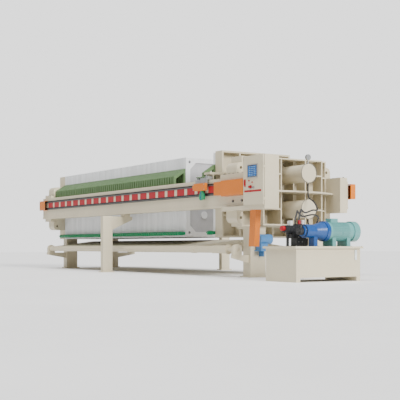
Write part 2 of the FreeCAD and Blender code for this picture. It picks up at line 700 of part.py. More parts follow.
def thrust_plate():
    half = "(plate_side / 2)"
    outline = gripping_outline(half, "plate_floor", PLATE_TOP, BEAM_INNER)
    ribs_y = even_ribs(f"-{half} + rib / 2", f"{half} - rib / 2", 4)
    ribs_z = even_ribs("plate_floor + rib / 2", f"{PLATE_TOP} - rib / 2", 4)
    plate = ribbed("thrust_plate", outline, THRUST_BACK, "thrust_depth", False, ribs_y, ribs_z, "rib")
    eared = round_ears("thrust_plate_eared", plate, THRUST_BACK, "thrust_depth")
    feed = rod("thrust_feed_pipe", "X", (f"{THRUST_BACK} - 90", "0", PLATE_MID), "thrust_depth + 90 - slab", "feed_radius + 30")
    flange = rod("thrust_feed_flange", "X", (f"{THRUST_BACK} - 90", "0", PLATE_MID), "26", "feed_radius + 78")
    bore = rod("thrust_feed_bore", "X", (f"{THRUST_BACK} - 91", "0", PLATE_MID), "thrust_depth + 92", "feed_radius")
    return cut("thrust_plate_solid", fuse("thrust_plate_piped", [eared, feed, flange]), [bore])


subpart("thrust_plate", thrust_plate())


def leg(name, low, size):
    """A column with its base plate."""
    column = block(f"{name}_column", low, size)
    plate_low = (f"{low[0]} - foot_lap", f"{low[1]} - foot_lap", "0")
    plate_size = (f"{size[0]} + 2 * foot_lap", f"{size[1]} + 2 * foot_lap", "foot_plate")
    return fuse(name, [column, block(f"{name}_base", plate_low, plate_size)])


thrust_leg = leg("thrust_leg", (f"{PACK_BACK} - thrust_leg_deep", "-thrust_leg_low - thrust_leg_wide", "0"),
                 ("thrust_leg_deep", "thrust_leg_wide", "plate_floor"))
subpart("thrust_legs", pair("thrust_legs_pair", thrust_leg))


# ------------------------------------------------------------ middle support
def mid_support():
    """A leg outside the flaps with a tapered bracket that reaches in under the beam."""
    top = "(beam_floor - mid_pad)"
    column = leg("mid_leg", ("mid_leg_place", "-mid_leg_half", "0"), ("mid_leg_deep", "mid_leg_wide", f"{top} + 6"))
    inner = "(-mid_leg_half + mid_leg_wide)"
    tip = f"(-{BEAM_INNER} + 60)"
    outline = [(inner, top), (tip, top), (tip, f"{top} - mid_arm_tip"), (inner, f"{top} - mid_arm_root")]
    arm_low = "mid_leg_place + (mid_leg_deep - mid_arm_thick) / 2"
    arm = prism("mid_arm", "YZ", arm_low, "mid_arm_thick", outline)
    pad_block = block("mid_pad_block", ("mid_leg_place - 15", "-beam_half + 30", top),
                      ("mid_leg_deep + 30", "beam_width - 40", "mid_pad"))
    return fuse("mid_support", [column, arm, pad_block])


subpart("mid_supports", pair("mid_supports_pair", mid_support()))


# -------------------------------------------------------------- filter plates
def plate_body(name, start, thick):
    """One square plate with a chamfered rim, in a body of its own."""
    body = new_body(name)
    sheet = pad(body, f"{name}_sheet", "YZ", start, thick, square("plate_side / 2"))
    DOC.recompute()
    rim_edges = edges_along(sheet.Shape, "Y") + edges_along(sheet.Shape, "Z")
    rim_cut = round_edges(body, f"{name}_rim", sheet, "plate_chamfer", rim_edges, "PartDesign::Chamfer")
    DOC.recompute()
    return body, sheet, rim_cut


def plate_stack():
    """All plates but the front one, pressed together: one solid with a groove at each joint."""
    body, sheet, rim_cut = plate_body("plate_stack", PACK_BACK, "plate_pitch")
    pattern = body.newObject("PartDesign::LinearPattern", "plate_pattern")
    pattern.Originals = [sheet, rim_cut]
    pattern.TransformMode = "Whole shape"
    pattern.Direction = (origin_plane(body, "X_Axis"), [""])
    bind(pattern, "Length", "plate_pitch * (plate_count - 2)")
    bind(pattern, "Occurrences", "plate_count - 1")
    body.Tip = pattern
    return body


subpart("filter_plates", plate_stack())


def chamber_outline():
    """The chamber's outline in Y and Z: a square with cut corners."""
    half = "(plate_side / 2 - recess_margin)"
    low, high = f"{PLATE_MID} - {half}", f"{PLATE_MID} + {half}"
    near = f"{half} - recess_corner"
    return [
        (f"-({near})", low), (near, low), (half, f"{low} + recess_corner"), (half, f"{high} - recess_corner"),
        (near, high), (f"-({near})", high), (f"-{half}", f"{high} - recess_corner"), (f"-{half}", f"{low} + recess_corner"),
    ]


def chambered_plate(name, start, thick, face, face_is_high):
    """A recessed plate with corner ports, a feed hole and stay bosses."""
    body, sheet, rim_cut = plate_body(name, start, thick)
    chamber = pocket(body, f"{name}_chamber", "YZ", face, "recess_depth", not face_is_high, [chamber_outline()])
    offset = "(plate_side / 2 - port_inset)"
    corners = [(sign_y, sign_z) for sign_y in (-1, 1) for sign_z in (-1, 1)]
    ports = [((f"{y} * {offset}", f"{PLATE_MID} + {z} * {offset}"), "port_radius") for y, z in corners]
    feed = [(("0", PLATE_MID), "feed_radius")]
    pocket(body, f"{name}_ports", "YZ", start, thick, True, (), ports + feed)
    boss_start = f"{face} - recess_depth" if face_is_high else face
    sketch = new_sketch(body, f"{name}_stays_outline", "YZ", boss_start)
    for y, z in corners:
        draw_circle(sketch, (f"{y} * stay_spread", f"{PLATE_MID} + {z} * stay_spread"), "stay_radius")
    stays = body.newObject("PartDesign::Pad", f"{name}_stays")
    stays.Profile = sketch
    bind(stays, "Length", "recess_depth")
    return body


subpart("front_plate", chambered_plate("front_plate_body", "-plate_pitch", "plate_pitch", "0", True))


# ----------------------------------------------------- handles and side taps
def handle_outlines():
    """A hooked bracket in Y and Z: its root on the plate, its sloped roof and its wall on the beam."""
    edge = "(-plate_side / 2)"
    crest = f"({edge} - handle_crest)"
    root = f"({edge} - handle_root)"
    outer = f"(-({BEAM_INNER} + handle_rest))"
    inner = f"({outer} + handle_skin)"
    top = f"({BEAM_TOP} + handle_rise)"
    shoulder = f"({BEAM_TOP} + handle_shoulder)"
    foot = f"({BEAM_TOP} + handle_foot)"
    slope = f"((handle_rise - handle_shoulder) / ({crest} - {outer}))"
    over_root = (root, f"({top} - {slope} * ({crest} - {root}))")
    over_wall = (inner, f"({shoulder} + {slope} * handle_skin)")
    under_root = (root, f"({top} - 2 * handle_skin)")
    under_wall = (inner, f"({shoulder} - handle_skin)")
    return {
        "root": [(edge, foot), (edge, top), (crest, top), over_root, (root, foot)],
        "roof": [over_root, over_wall, under_wall, under_root],
        "wall": [over_wall, (outer, shoulder), (outer, BEAM_TOP), (inner, BEAM_TOP)],
    }


def handle_row(part, outline):
    """One part of the handles on every plate of the stack."""
    body = new_body(f"handle_{part}_near")
    start = f"{PACK_BACK} + (plate_pitch - handle_width) / 2"
    first = pad(body, f"handle_{part}_first", "YZ", start, "handle_width", outline)
    repeat(body, f"handle_{part}_pattern", first, "X", "plate_pitch", "plate_count")
    return body


for part, outline in handle_outlines().items():
    subpart(f"handle_{part}s", pair(f"handle_{part}s_pair", handle_row(part, outline)))


def tap_row(name, start, count):
    """Filtrate taps on the plates' near edge: body, drooping spout and lever tip."""
    edge = "(-plate_side / 2)"
    floor = "(plate_floor + tap_lift)"
    top = f"({floor} + tap_height)"
    points = [
        (edge, f"{floor} + 14"), (edge, f"{top} - 12"), (f"{edge} - 0.7 * tap_reach", top),
        (f"{edge} - tap_reach", f"{top} - 30"), (f"{edge} - 0.8 * tap_reach", floor), (f"{edge} - 0.5 * tap_reach", floor),
    ]
    body = new_body(name)
    first = pad(body, f"{name}_first", "YZ", start, "tap_width", points)
    if count != "1":
        repeat(body, f"{name}_pattern", first, "X", "plate_pitch", count)
    return body


subpart("discharge_taps", tap_row("taps_near", f"{PACK_BACK} + (plate_pitch - tap_width) / 2", "plate_count"))


# --------------------------------------------------------------- moving head
def moving_head():
    half = "(plate_side / 2 + head_lap)"
    ribs = even_ribs(f"-{half} + rim / 2", f"{half} - rim / 2", 4)
    ribs_z = even_ribs(f"{PLATE_MID} - {half} + rim / 2", f"{PLATE_MID} + {half} - rim / 2", 4)
    plate = ribbed("moving_head", square(half), HEAD_FACE, "head_depth", True, ribs, ribs_z, "rim")
    pieces = [plate]
    for tag, height in (("upper", CYLINDER_UPPER), ("lower", CYLINDER_LOWER)):
        pieces.append(rod(f"head_hub_{tag}", "X", (f"{HEAD_FACE} + slab - 1", "0", height), "head_depth - slab + 1", "rod_radius + 50"))
    for side, sign in (("near", "-"), ("far", "")):
        reach = f"({BEAM_INNER} + roller_inset + roller_width + 10 - {half})"
        arm_y = f"-({half}) - {reach}" if sign else half
        pieces.append(block(f"head_arm_{side}", (f"{HEAD_FACE} + 8", arm_y, f"{BEAM_TOP} + 2 * roller_radius + 25"),
                            ("head_depth - 16", reach, "arm_thick")))
        cheek_y = f"-({BEAM_INNER}) - roller_inset" if sign else f"{BEAM_INNER} + roller_inset - 22"
        pieces.append(block(f"head_cheek_{side}", (f"{HEAD_FACE} + 8", cheek_y, f"{BEAM_TOP} + 22"),
                            ("head_depth - 16", "22", "2 * roller_radius + 5")))
    return fuse("moving_head_solid", pieces)


subpart("moving_head", moving_head())


def head_rollers():
    """Two rollers a side with their axles, on the beams' tops."""
    rollers = []
    height = f"{BEAM_TOP} + roller_gap + roller_radius"
    middle = f"{HEAD_FACE} + head_depth / 2"
    inner = f"({BEAM_INNER} + roller_inset)"
    for index, sign in enumerate(("-", "+")):
        centre = f"{middle} {sign} roller_spacing / 2"
        wheel = rod(f"roller_{index}_wheel", "Y", (centre, f"-{inner} - roller_width - 6", height), "roller_width", "roller_radius")
        axle = rod(f"roller_{index}_axle", "Y", (centre, f"-{inner} - roller_width - 14", height), "roller_width + 14", "axle_radius")
        rollers.append(fuse(f"roller_{index}", [wheel, axle]))
    return pair("head_rollers_pair", compound("head_rollers_near", rollers))


subpart("head_rollers", head_rollers())
subpart("head_plate", chambered_plate("head_plate_body", "open_gap", "head_plate_thick", "open_gap", False))


def head_handles():
    """The head's plate hangs on the same handles, a little above the beams."""
    start = "open_gap + (head_plate_thick - handle_width) / 2"
    pieces = [prism(f"head_handle_{part}", "YZ", start, "handle_width", outline)
              for part, outline in handle_outlines().items()]
    row = fuse("head_handle", pieces)
    shaving = block("head_handle_shaving", ("open_gap", "-plate_side", f"{BEAM_TOP} - 1"), ("head_plate_thick", "plate_side", "7"))
    return pair("head_handles_pair", cut("head_handle_trimmed", row, [shaving]))


subpart("head_handles", head_handles())
subpart("head_tap", tap_row("head_tap_body", "open_gap + (head_plate_thick - tap_width) / 2", "1"))


def piston_rods():
    rods = []
    for tag, height in (("upper", CYLINDER_UPPER), ("lower", CYLINDER_LOWER)):
        shaft = rod(f"{tag}_rod_shaft", "X", (HEAD_BACK, "0", height), f"piston_end - {HEAD_BACK}", "rod_radius")
        piston = rod(f"{tag}_piston", "X", ("piston_end - piston_length", "0", height), "piston_length", "bore_radius - fit_gap")
        rods.append(fuse(f"{tag}_rod", [shaft, piston]))
    return compound("piston_rods_solid", rods)


subpart("piston_rods", piston_rods())


# ------------------------------------------------------------- cylinder seat
def cylinder_seat():
    """The crosshead that holds both cylinders and grips the beams with four ears."""
    half = f"({BEAM_INNER})"
    top = f"({PLATE_MID} + seat_half)"
    outline = gripping_outline(f"({half} - 3)", SEAT_FLOOR, top, half)
    ribs_y = [f"-{half} + rim / 2", "-seat_rib_far", "-seat_rib_near", "seat_rib_near", "seat_rib_far", f"{half} - rim / 2"]
    ribs_z = [f"{SEAT_FLOOR} + rib / 2", f"{PLATE_MID} - seat_bay", PLATE_MID, f"{PLATE_MID} + seat_bay", f"{top} - rib / 2"]
    plate = ribbed("cylinder_seat", outline, "seat_face", "seat_depth", True, ribs_y, ribs_z, "rib")
    eared = round_ears("cylinder_seat_eared", plate, "seat_face", "seat_depth")
    hubs = []
    bores = []
    for tag, height in (("upper", CYLINDER_UPPER), ("lower", CYLINDER_LOWER)):
        hubs.append(rod(f"seat_hub_{tag}", "X", ("seat_face", "0", height), "0.6 * seat_depth", "cylinder_radius + 28"))
        bores.append(rod(f"seat_bore_{tag}", "X", ("seat_face - 1", "0", height), "seat_depth + 2", "cylinder_radius"))
    return cut("cylinder_seat_solid", fuse("cylinder_seat_hubs", [eared] + hubs), bores)


subpart("cylinder_seat", cylinder_seat())


def tie_plate():
    """A fish-bellied plate between the beams, welded to the seat's back."""
    half = value(BEAM_INNER)
    back = value(SEAT_BACK)
    end = back + value("tie_end")
    bow = end + value("tie_bow")
    floor = value(f"{PLATE_MID} - tie_thick / 2")
    points = [FreeCAD.Vector(back, -half, floor), FreeCAD.Vector(end, -half, floor), FreeCAD.Vector(bow, 0, floor),
              FreeCAD.Vector(end, half, floor), FreeCAD.Vector(back, half, floor)]
    belly = Part.Arc(points[1], points[2], points[3]).toShape()
    straight = [Part.makeLine(points[0], points[1]), Part.makeLine(points[3], points[4]), Part.makeLine(points[4], points[0])]
    wire = Part.Wire([straight[0], belly, straight[1], straight[2]])
    plate = DOC.addObject("Part::Feature", "tie_plate_solid")
    plate.Shape = Part.Face(wire).extrude(FreeCAD.Vector(0, 0, value("tie_thick")))
    return plate


subpart("tie_plate", tie_plate())


def seat_leg():
    column = leg("seat_leg_column", ("seat_leg_place", "-seat_leg_low - seat_leg_wide", "0"),
                 ("seat_leg_deep", "seat_leg_wide", SEAT_FLOOR))
    head = block("seat_leg_head_plate", ("seat_face + 30", "-seat_leg_low - seat_leg_wide", f"{SEAT_FLOOR} - seat_leg_head"),
                 (f"seat_leg_place + seat_leg_deep - seat_face - 30", "seat_leg_wide", "seat_leg_head"))
    return fuse("seat_leg", [column, head])


subpart("seat_legs", pair("seat_legs_pair", seat_leg()))


def cylinder(tag, height):
    """Tube, gland flange and end cap of one hydraulic cylinder, bored for its piston and rod."""
    front = "(seat_face - gland_length)"
    bore_start = f"({front} + head_wall)"
    tube = rod(f"{tag}_tube", "X", ("seat_face", "0", height), "cylinder_back - seat_face", "cylinder_radius")
    gland = rod(f"{tag}_gland", "X", (front, "0", height), "gland_length", "gland_radius")
    cap = rod(f"{tag}_cap", "X", ("cylinder_back", "0", height), "cap_thick", "cylinder_radius + cap_lap")
    port_low = ("cylinder_back + cap_thick / 2", "0", f"{height} - cylinder_radius - cap_lap - port_rise")
    port = rod(f"{tag}_port", "Z", port_low, "port_rise + 20", "port_boss")
    bore = rod(f"{tag}_bore", "X", (bore_start, "0", height), f"cylinder_back - {bore_start}", "bore_radius")
    throat = rod(f"{tag}_throat", "X", (f"{front} - 1", "0", height), "head_wall + 2", "rod_radius + fit_gap")
    return cut(f"{tag}_cylinder", fuse(f"{tag}_barrel", [tube, gland, cap, port]), [bore, throat])


subpart("cylinder_upper", cylinder("upper", CYLINDER_UPPER))
subpart("cylinder_lower", cylinder("lower", CYLINDER_LOWER))


def pressure_gauge():
    """Dial on a stem whose nut is seated on the cylinder's round end cap."""
    cap_top = f"({CYLINDER_UPPER} + cylinder_radius + cap_lap)"
    middle = "(cylinder_back + cap_thick / 2)"
    stem = rod("gauge_stem", "Z", (middle, "0", cap_top), "gauge_height - gauge_radius + 6", "stem_radius")
    dial = rod("gauge_dial", "X", (f"{middle} - gauge_thick / 2", "0", f"{cap_top} + gauge_height"), "gauge_thick", "gauge_radius")
    nut = rod("gauge_nut", "Z", (middle, "0", f"{cap_top} - nut_drop"), "22 + nut_drop", "2 * stem_radius")
    cap = rod("gauge_seat", "X", ("cylinder_back", "0", CYLINDER_UPPER), "cap_thick", "cylinder_radius + cap_lap")
    return cut("gauge_solid", fuse("gauge_whole", [stem, dial, nut]), [cap])


subpart("pressure_gauge", pressure_gauge())


# ------------------------------------------------------------ control cabinet
def cabinet_shelf():
    """A plate beside the beam's clamping plate that carries the cabinet past the beam's end."""
    outer, inner = f"-{CABINET_FRONT}", f"(-{CABINET_FRONT} + cabinet_deep)"
    clamp = "(-beam_half + clamp_setback)"
    right = "cabinet_low + cabinet_wide"
    points = [("shelf_low", outer), (right, outer), (right, inner), ("beam_nose", inner), ("beam_nose", clamp), ("shelf_low", clamp)]
    return prism("cabinet_shelf_body", "XY", CLAMP_FLOOR, "clamp_thick", points)


subpart("cabinet_shelf", cabinet_shelf())


DOOR_FACE = f"(-{CABINET_FRONT} - cabinet_seal - door_thick)"
HINGE_X = "(cabinet_low + cabinet_wide + hinge_offset)"
HINGE_LIFTS = ("(beam_floor + hinge_inset)", "(beam_floor + cabinet_tall - hinge_inset - hinge_length)")


def cabinet_shell():
    low = ("cabinet_low", f"-{CABINET_FRONT}", "beam_floor")
    outside = block("cabinet_outside", low, ("cabinet_wide", "cabinet_deep", "cabinet_tall"))
    inside = block("cabinet_inside", ("cabinet_low + cabinet_wall", f"-{CABINET_FRONT} - 1", "beam_floor + cabinet_wall"),
                   ("cabinet_wide - 2 * cabinet_wall", "cabinet_deep - cabinet_wall + 1", "cabinet_tall - 2 * cabinet_wall"))
    pieces = [cut("cabinet_box", outside, [inside])]
    for index, lift in enumerate(HINGE_LIFTS):
        height = f"{lift} - hinge_length / 2 - hinge_play"
        knuckle = rod(f"fixed_knuckle_{index}", "Z", (HINGE_X, DOOR_FACE, height), "hinge_length / 2", "hinge_radius")
        leaf = block(f"fixed_leaf_{index}", ("cabinet_low + cabinet_wide", DOOR_FACE, height),
                     ("hinge_leaf", "door_thick + cabinet_seal + hinge_grip", "hinge_length / 2"))
        pieces += [knuckle, leaf]
    return fuse("cabinet_shell_solid", pieces)


subpart("cabinet_shell", cabinet_shell())


def cabinet_internals():
    """Mounting plate with a row of drives, a row of relays and a wiring duct."""
    back = f"(-{CABINET_FRONT} + cabinet_deep - cabinet_wall)"
    plate = block("mounting_plate", ("cabinet_low + 30", f"{back} - 4", "beam_floor + 30"), ("cabinet_wide - 60", "4", "cabinet_tall - 60"))
    pieces = [plate]
    rows = (("drive", 3, 130, 200, 130, 500), ("relay", 8, 44, 80, 60, 300), ("duct", 1, 430, 45, 50, 230), ("terminal", 10, 34, 60, 50, 90))
    for tag, count, wide, tall, deep, lift in rows:
        for index in range(count):
            start = f"cabinet_low + (cabinet_wide - {count} * ({wide} + 8) + 8) / 2 + {index} * ({wide} + 8)"
            low = (start, f"{back} - 4 - {deep}", f"beam_floor + {lift}")
            pieces.append(block(f"{tag}_{index}", low, (wide, deep, tall)))
    return fuse("cabinet_internals_solid", pieces)


subpart("cabinet_internals", cabinet_internals())

def cabinet_door():
    """A sheet door with a folded rim, and the moving knuckles of its two hinges."""
    low = ("cabinet_low + door_gap", DOOR_FACE, "beam_floor + door_gap")
    size = ("cabinet_wide - 2 * door_gap", "door_thick", "cabinet_tall - 2 * door_gap")
    sheet = block("door_sheet", low, size)
    hollow = block("door_hollow", ("cabinet_low + door_gap + 14", f"{DOOR_FACE} + 4", "beam_floor + door_gap + 14"),
                   ("cabinet_wide - 2 * door_gap - 28", "door_thick", "cabinet_tall - 2 * door_gap - 28"))
    leaf = cut("door_leaf", sheet, [hollow])
    pieces = [leaf]
    for index, lift in enumerate(HINGE_LIFTS):
        pieces.append(rod(f"door_knuckle_{index}", "Z", (HINGE_X, DOOR_FACE, lift), "hinge_length", "hinge_radius"))
        leaf = block(f"door_leaf_{index}", ("cabinet_low + cabinet_wide - door_gap - 2", DOOR_FACE, lift),
                     ("door_gap + hinge_offset + 2", "hinge_leaf", "hinge_length"))
        pieces.append(leaf)
    return fuse("cabinet_door_solid", pieces)


subpart("cabinet_door", cabinet_door())


def hmi_panel():
    low_x = "cabinet_low + 128"
    bezel = block("screen_bezel", (low_x, f"{DOOR_FACE} - screen_proud", "beam_floor + 440"), ("screen_wide", "screen_proud", "screen_tall"))
    glass = block("screen_recess", (f"{low_x} + 16", f"{DOOR_FACE} - screen_proud - 1", "beam_floor + 456"),
                  ("screen_wide - 32", "4", "screen_tall - 32"))
    return cut("hmi_panel_solid", bezel, [glass])


subpart("hmi_panel", hmi_panel())


def door_controls():
    """Mushroom stop button, two signal lamps and the swing handle of the door's lock."""
    pieces = []
    stop_x = "cabinet_low + 205"
    collar = rod("stop_collar", "Y", (stop_x, f"{DOOR_FACE} - 10", "beam_floor + 292"), "10", "1.3 * button_radius")
    neck = rod("stop_neck", "Y", (stop_x, f"{DOOR_FACE} - 26", "beam_floor + 292"), "18", "0.6 * button_radius")
    cap = rod("stop_cap", "Y", (stop_x, f"{DOOR_FACE} - 40", "beam_floor + 292"), "16", "button_radius")
    pieces.append(fuse("stop_button", [collar, neck, cap]))
    for index, offset in enumerate((165, 250)):
        start = (f"cabinet_low + {offset}", f"{DOOR_FACE} - 14", f"beam_floor + {392 - 30 * index}")
        pieces.append(rod(f"lamp_{index}", "Y", start, "14", "lamp_radius"))
    plate = block("lock_plate", ("cabinet_low + 40", f"{DOOR_FACE} - 8", "beam_floor + 300"), ("30", "8", "120"))
    lever = block("lock_lever", ("cabinet_low + 46", f"{DOOR_FACE} - 22", "beam_floor + 320"), ("18", "16", "90"))
    pieces.append(fuse("door_lock", [plate, lever]))
    return compound("door_controls_solid", pieces)


subpart("door_controls", door_controls())


def cable_duct():
    """A slanting sheet duct that hangs from the shelf."""
    left, right = "duct_low", "(duct_low + duct_wide)"
    points = [(left, CLAMP_FLOOR), (f"{left} - duct_slant", "duct_floor"), (f"{right} - duct_slant - 8", "duct_floor"), (right, CLAMP_FLOOR)]
    return prism("cable_duct_body", "XZ", "-beam_half + 37", "duct_deep", points)


subpart("cable_duct", cable_duct())


def flap_drive():
    """Gearmotor of the flaps on a console at the near seat leg."""
    low_x = "(seat_leg_place + seat_leg_deep)"
    console = block("console", (low_x, "-seat_leg_low - 240", "console_height"), ("190", "220", "20"))
    gusset = block("console_gusset", (low_x, "-seat_leg_low - 140", "console_height - 90"), ("120", "16", "92"))
    box_low = (f"{low_x} + 22", "-seat_leg_low - 220", "console_height + 20")
    gearbox = block("gearbox", box_low, ("gearbox_side", "gearbox_side", "gearbox_height"))
    axis_z = "(console_height + 20 + gearbox_height + 70)"
    flange = rod("gearmotor_flange", "Y", (f"{low_x} + 22 + gearbox_side / 2", "-seat_leg_low - 230", axis_z), "24", "gearmotor_radius + 6")
    motor = rod("gearmotor", "Y", (f"{low_x} + 22 + gearbox_side / 2", "-seat_leg_low - 207", axis_z), "230", "gearmotor_radius")
    return fuse("flap_drive_solid", [console, gusset, gearbox, flange, motor])


subpart("flap_drive", flap_drive())


# ------------------------------------------------------------------ drip flaps
FLAP_START = "(-plate_pitch * plate_count + flap_gap)"


def drip_flap(side):
    """Torque tube with a sloping sheet that rises to the centre line and is stiffened underneath."""
    tube = rod(f"flap_{side}_tube", "X", (FLAP_START, "-flap_axis", "flap_height"), f"sleeve_low - {FLAP_START}", "flap_tube")
    ring = rod(f"flap_{side}_ring", "X", ("flap_end - 20", "-flap_axis", "flap_height"), "clamp_ring", "flap_tube + 7")
    sleeve = rod(f"flap_{side}_sleeve", "X", ("sleeve_low", "-flap_axis", "flap_height"), "sleeve_high - sleeve_low", "sleeve_radius")
    coupling = rod(f"flap_{side}_coupling", "X", ("sleeve_high", "-flap_axis", "flap_height"), "26", "bearing_radius - 4")
    stub_low = rod(f"flap_{side}_stub_low", "X", (f"{FLAP_START} - 110", "-flap_axis", "flap_height"), "120", "shaft_radius")
    stub_high = rod(f"flap_{side}_stub_high", "X", ("sleeve_high + 10", "-flap_axis", "flap_height"), "shaft_end - sleeve_high - 10", "shaft_radius")
    outer = "(-flap_axis + 30)"
    inner = "(-flap_split / 2)"
    seat_z = "(flap_height + flap_tube - 8)"
    ridge = "(flap_height + flap_ridge)"
    sheet_points = [
        (outer, seat_z), (inner, ridge), (inner, f"{ridge} - flap_lip"), (f"{inner} - flap_sheet", f"{ridge} - flap_lip"),
        (f"{inner} - flap_sheet", f"{ridge} - flap_sheet - 2"), (outer, f"{seat_z} - flap_sheet"),
    ]
    sheet = prism(f"flap_{side}_sheet", "YZ", FLAP_START, f"flap_end - {FLAP_START}", sheet_points)
    rib_points = [(outer, f"{seat_z} - flap_sheet + 2"), (f"{inner} - flap_sheet + 1", f"{ridge} - flap_sheet"),
                  (f"{inner} - flap_sheet + 1", f"{ridge} - flap_lip"), (f"{outer}", "flap_height")]
    rib = new_body(f"flap_{side}_ribs")
    first = pad(rib, f"flap_{side}_rib", "YZ", FLAP_START, "flap_sheet", rib_points)
    repeat(rib, f"flap_{side}_rib_row", first, "X", f"(flap_end - {FLAP_START} - flap_sheet) / (flap_ribs - 1)", "flap_ribs")
    return fuse(f"flap_{side}_solid", [tube, ring, sleeve, coupling, stub_low, stub_high, sheet, rib])


flap_near = subpart("flap_near", drip_flap("near"))
flap_far = subpart("flap_far", mirror("flap_far_solid", flap_near), True)


def bearing(name, start, reach_from, drop):
    """Flange bearing on a tapered bracket that reaches out from a leg."""
    ring = rod(f"{name}_ring", "X", (start, "-flap_axis", "flap_height"), "bearing_thick", "bearing_radius")
    block_low = (start, "-flap_axis - bearing_radius", f"flap_height - bearing_radius - {drop}")
    foot = block(f"{name}_foot", block_low, ("bearing_thick", "2 * bearing_radius", f"bearing_radius + {drop}"))
    top = f"(flap_height - bearing_radius - {drop} + 2)"
    outline = [(f"-flap_axis - bearing_radius - 20", top), (reach_from, top), (reach_from, f"{top} - 130"),
               (f"-flap_axis - bearing_radius - 20", f"{top} - 45")]
    bracket = prism(f"{name}_bracket", "YZ", f"{start} + (bearing_thick - bracket_thick) / 2", "bracket_thick", outline)
    bore = rod(f"{name}_bore", "X", (f"{start} - 1", "-flap_axis", "flap_height"), "bearing_thick + 2", "shaft_radius + fit_gap")
    return cut(name, fuse(f"{name}_mass", [ring, foot, bracket]), [bore])


bearing_back = bearing("bearing_back", f"{PACK_BACK} - 20 - bearing_thick", "(-thrust_leg_low - thrust_leg_wide)", "10")
bearing_nose = bearing("bearing_nose", "shaft_end - bearing_thick + 10", "(-seat_leg_low - seat_leg_wide)", "10")
subpart("flap_bearings", pair("flap_bearings_pair", compound("flap_bearings_near", [bearing_back, bearing_nose])))


# -------------------------------------------------------------- plate shifters
def shifter_frame():
    """Carriage plate on two track wheels, with a claw bracket that reaches over the beam."""
    back = f"({RAIL_FACE} + shifter_gap)"
    carrier = block("shifter_carrier", ("shifter_low + 20", f"-{back} - 20", "shifter_floor + 10"), ("shifter_length - 40", "20", f"{BEAM_TOP} + claw_gap - shifter_floor - 10"))
    pieces = [carrier]
    wheel_z = f"({RAIL_UPPER} + rail_height + wheel_gap + wheel_radius)"
    for index, share in enumerate(("0.2", "0.8")):
        spot = f"shifter_low + {share} * shifter_length"
        pieces.append(rod(f"shifter_wheel_{index}", "Y", (spot, "-beam_half - rail_depth + 6", wheel_z), "18", "wheel_radius"))
        pieces.append(rod(f"shifter_axle_{index}", "Y", (spot, f"-{back} - 10", wheel_z), f"{back} - beam_half - 14", "10"))
    claw_low = ("shifter_low + 0.45 * shifter_length", f"-{back} - 20", f"{BEAM_TOP} + claw_gap")
    pieces.append(block("shifter_claw", claw_low, ("0.5 * shifter_length", f"claw_reach + {back} + 20 - beam_half", "claw_thick")))
    tower = ("shifter_low + 0.5 * shifter_length", "-beam_half - 20", f"{BEAM_TOP} + claw_gap + claw_thick - 1")
    pieces.append(block("shifter_tower", tower, ("0.4 * shifter_length", "60", "31")))
    return fuse("shifter_frame_solid", pieces)


def shifter_cover():
    """An orange hood with a tapered nose over the carriage."""
    back = f"({RAIL_FACE} + shifter_gap + 20)"
    low, high = "shifter_low", "(shifter_low + shifter_length)"
    top = "(shifter_floor + shifter_height)"
    points = [(f"{low} + 70", "shifter_floor"), (high, "shifter_floor"), (high, top), (f"{low} + 40", top),
              (low, f"{top} - 35"), (low, "shifter_floor + 50")]
    return prism("shifter_cover_body", "XZ", f"-{back} - shifter_depth + 20", "shifter_depth - 20", points)


def shifter_grip():
    """Green release grip that hangs under the carriage."""
    back = f"({RAIL_FACE} + shifter_gap)"
    mid = "shifter_low + 0.66 * shifter_length"
    points = [(f"{mid} - 30", "shifter_floor"), (f"{mid} - 78", "shifter_floor - 120"), (f"{mid} - 40", "shifter_floor - 165"),
              (f"{mid} + 66", "shifter_floor - 150"), (f"{mid} + 86", "shifter_floor - 95"), (f"{mid} + 34", "shifter_floor")]
    return prism("shifter_grip_body", "XZ", f"-{back} - 56", "32", points)


frame_near = subpart("shifter_frame_near", shifter_frame())
subpart("shifter_frame_far", mirror("shifter_frame_far_solid", frame_near), True)
cover_near = subpart("shifter_cover_near", shifter_cover())
subpart("shifter_cover_far", mirror("shifter_cover_far_solid", cover_near), True)
subpart("shifter_grip", shifter_grip())


# -------------------------------------------------------------- hydraulic unit
def tank():
    """Welded oil tank on two skids, open at the top under its lid."""
    low = ("tank_low", "-tank_near", "tank_skid")
    outside = block("tank_outside", low, ("tank_deep", "tank_wide", "tank_top - tank_skid"))
    inside = block("tank_inside", ("tank_low + tank_wall", "-tank_near + tank_wall", "tank_skid + tank_wall"),
                   ("tank_deep - 2 * tank_wall", "tank_wide - 2 * tank_wall", "tank_top - tank_skid"))
    skids = []
    for index, start in enumerate(("-tank_near", "(-tank_near + tank_wide - skid_wide)")):
        skids.append(block(f"skid_{index}", ("tank_low", start, "0"), ("tank_deep", "skid_wide", "tank_skid + 1")))
    return fuse("tank_solid", [cut("tank_walls", outside, [inside])] + skids)


subpart("tank", tank())
subpart("tank_lid", rounded_block("tank_lid_body", "Z", ("tank_low - lid_lap", "-tank_near - lid_lap", "tank_top"),
                                  ("tank_deep + 2 * lid_lap", "tank_wide + 2 * lid_lap", "lid_thick"), "20"))


FITTING_FLOOR = f"({LID_TOP} + fitting_rise)"
FITTING_LEAN = FreeCAD.Vector(-0.33, 0.5, 0.8).normalize()


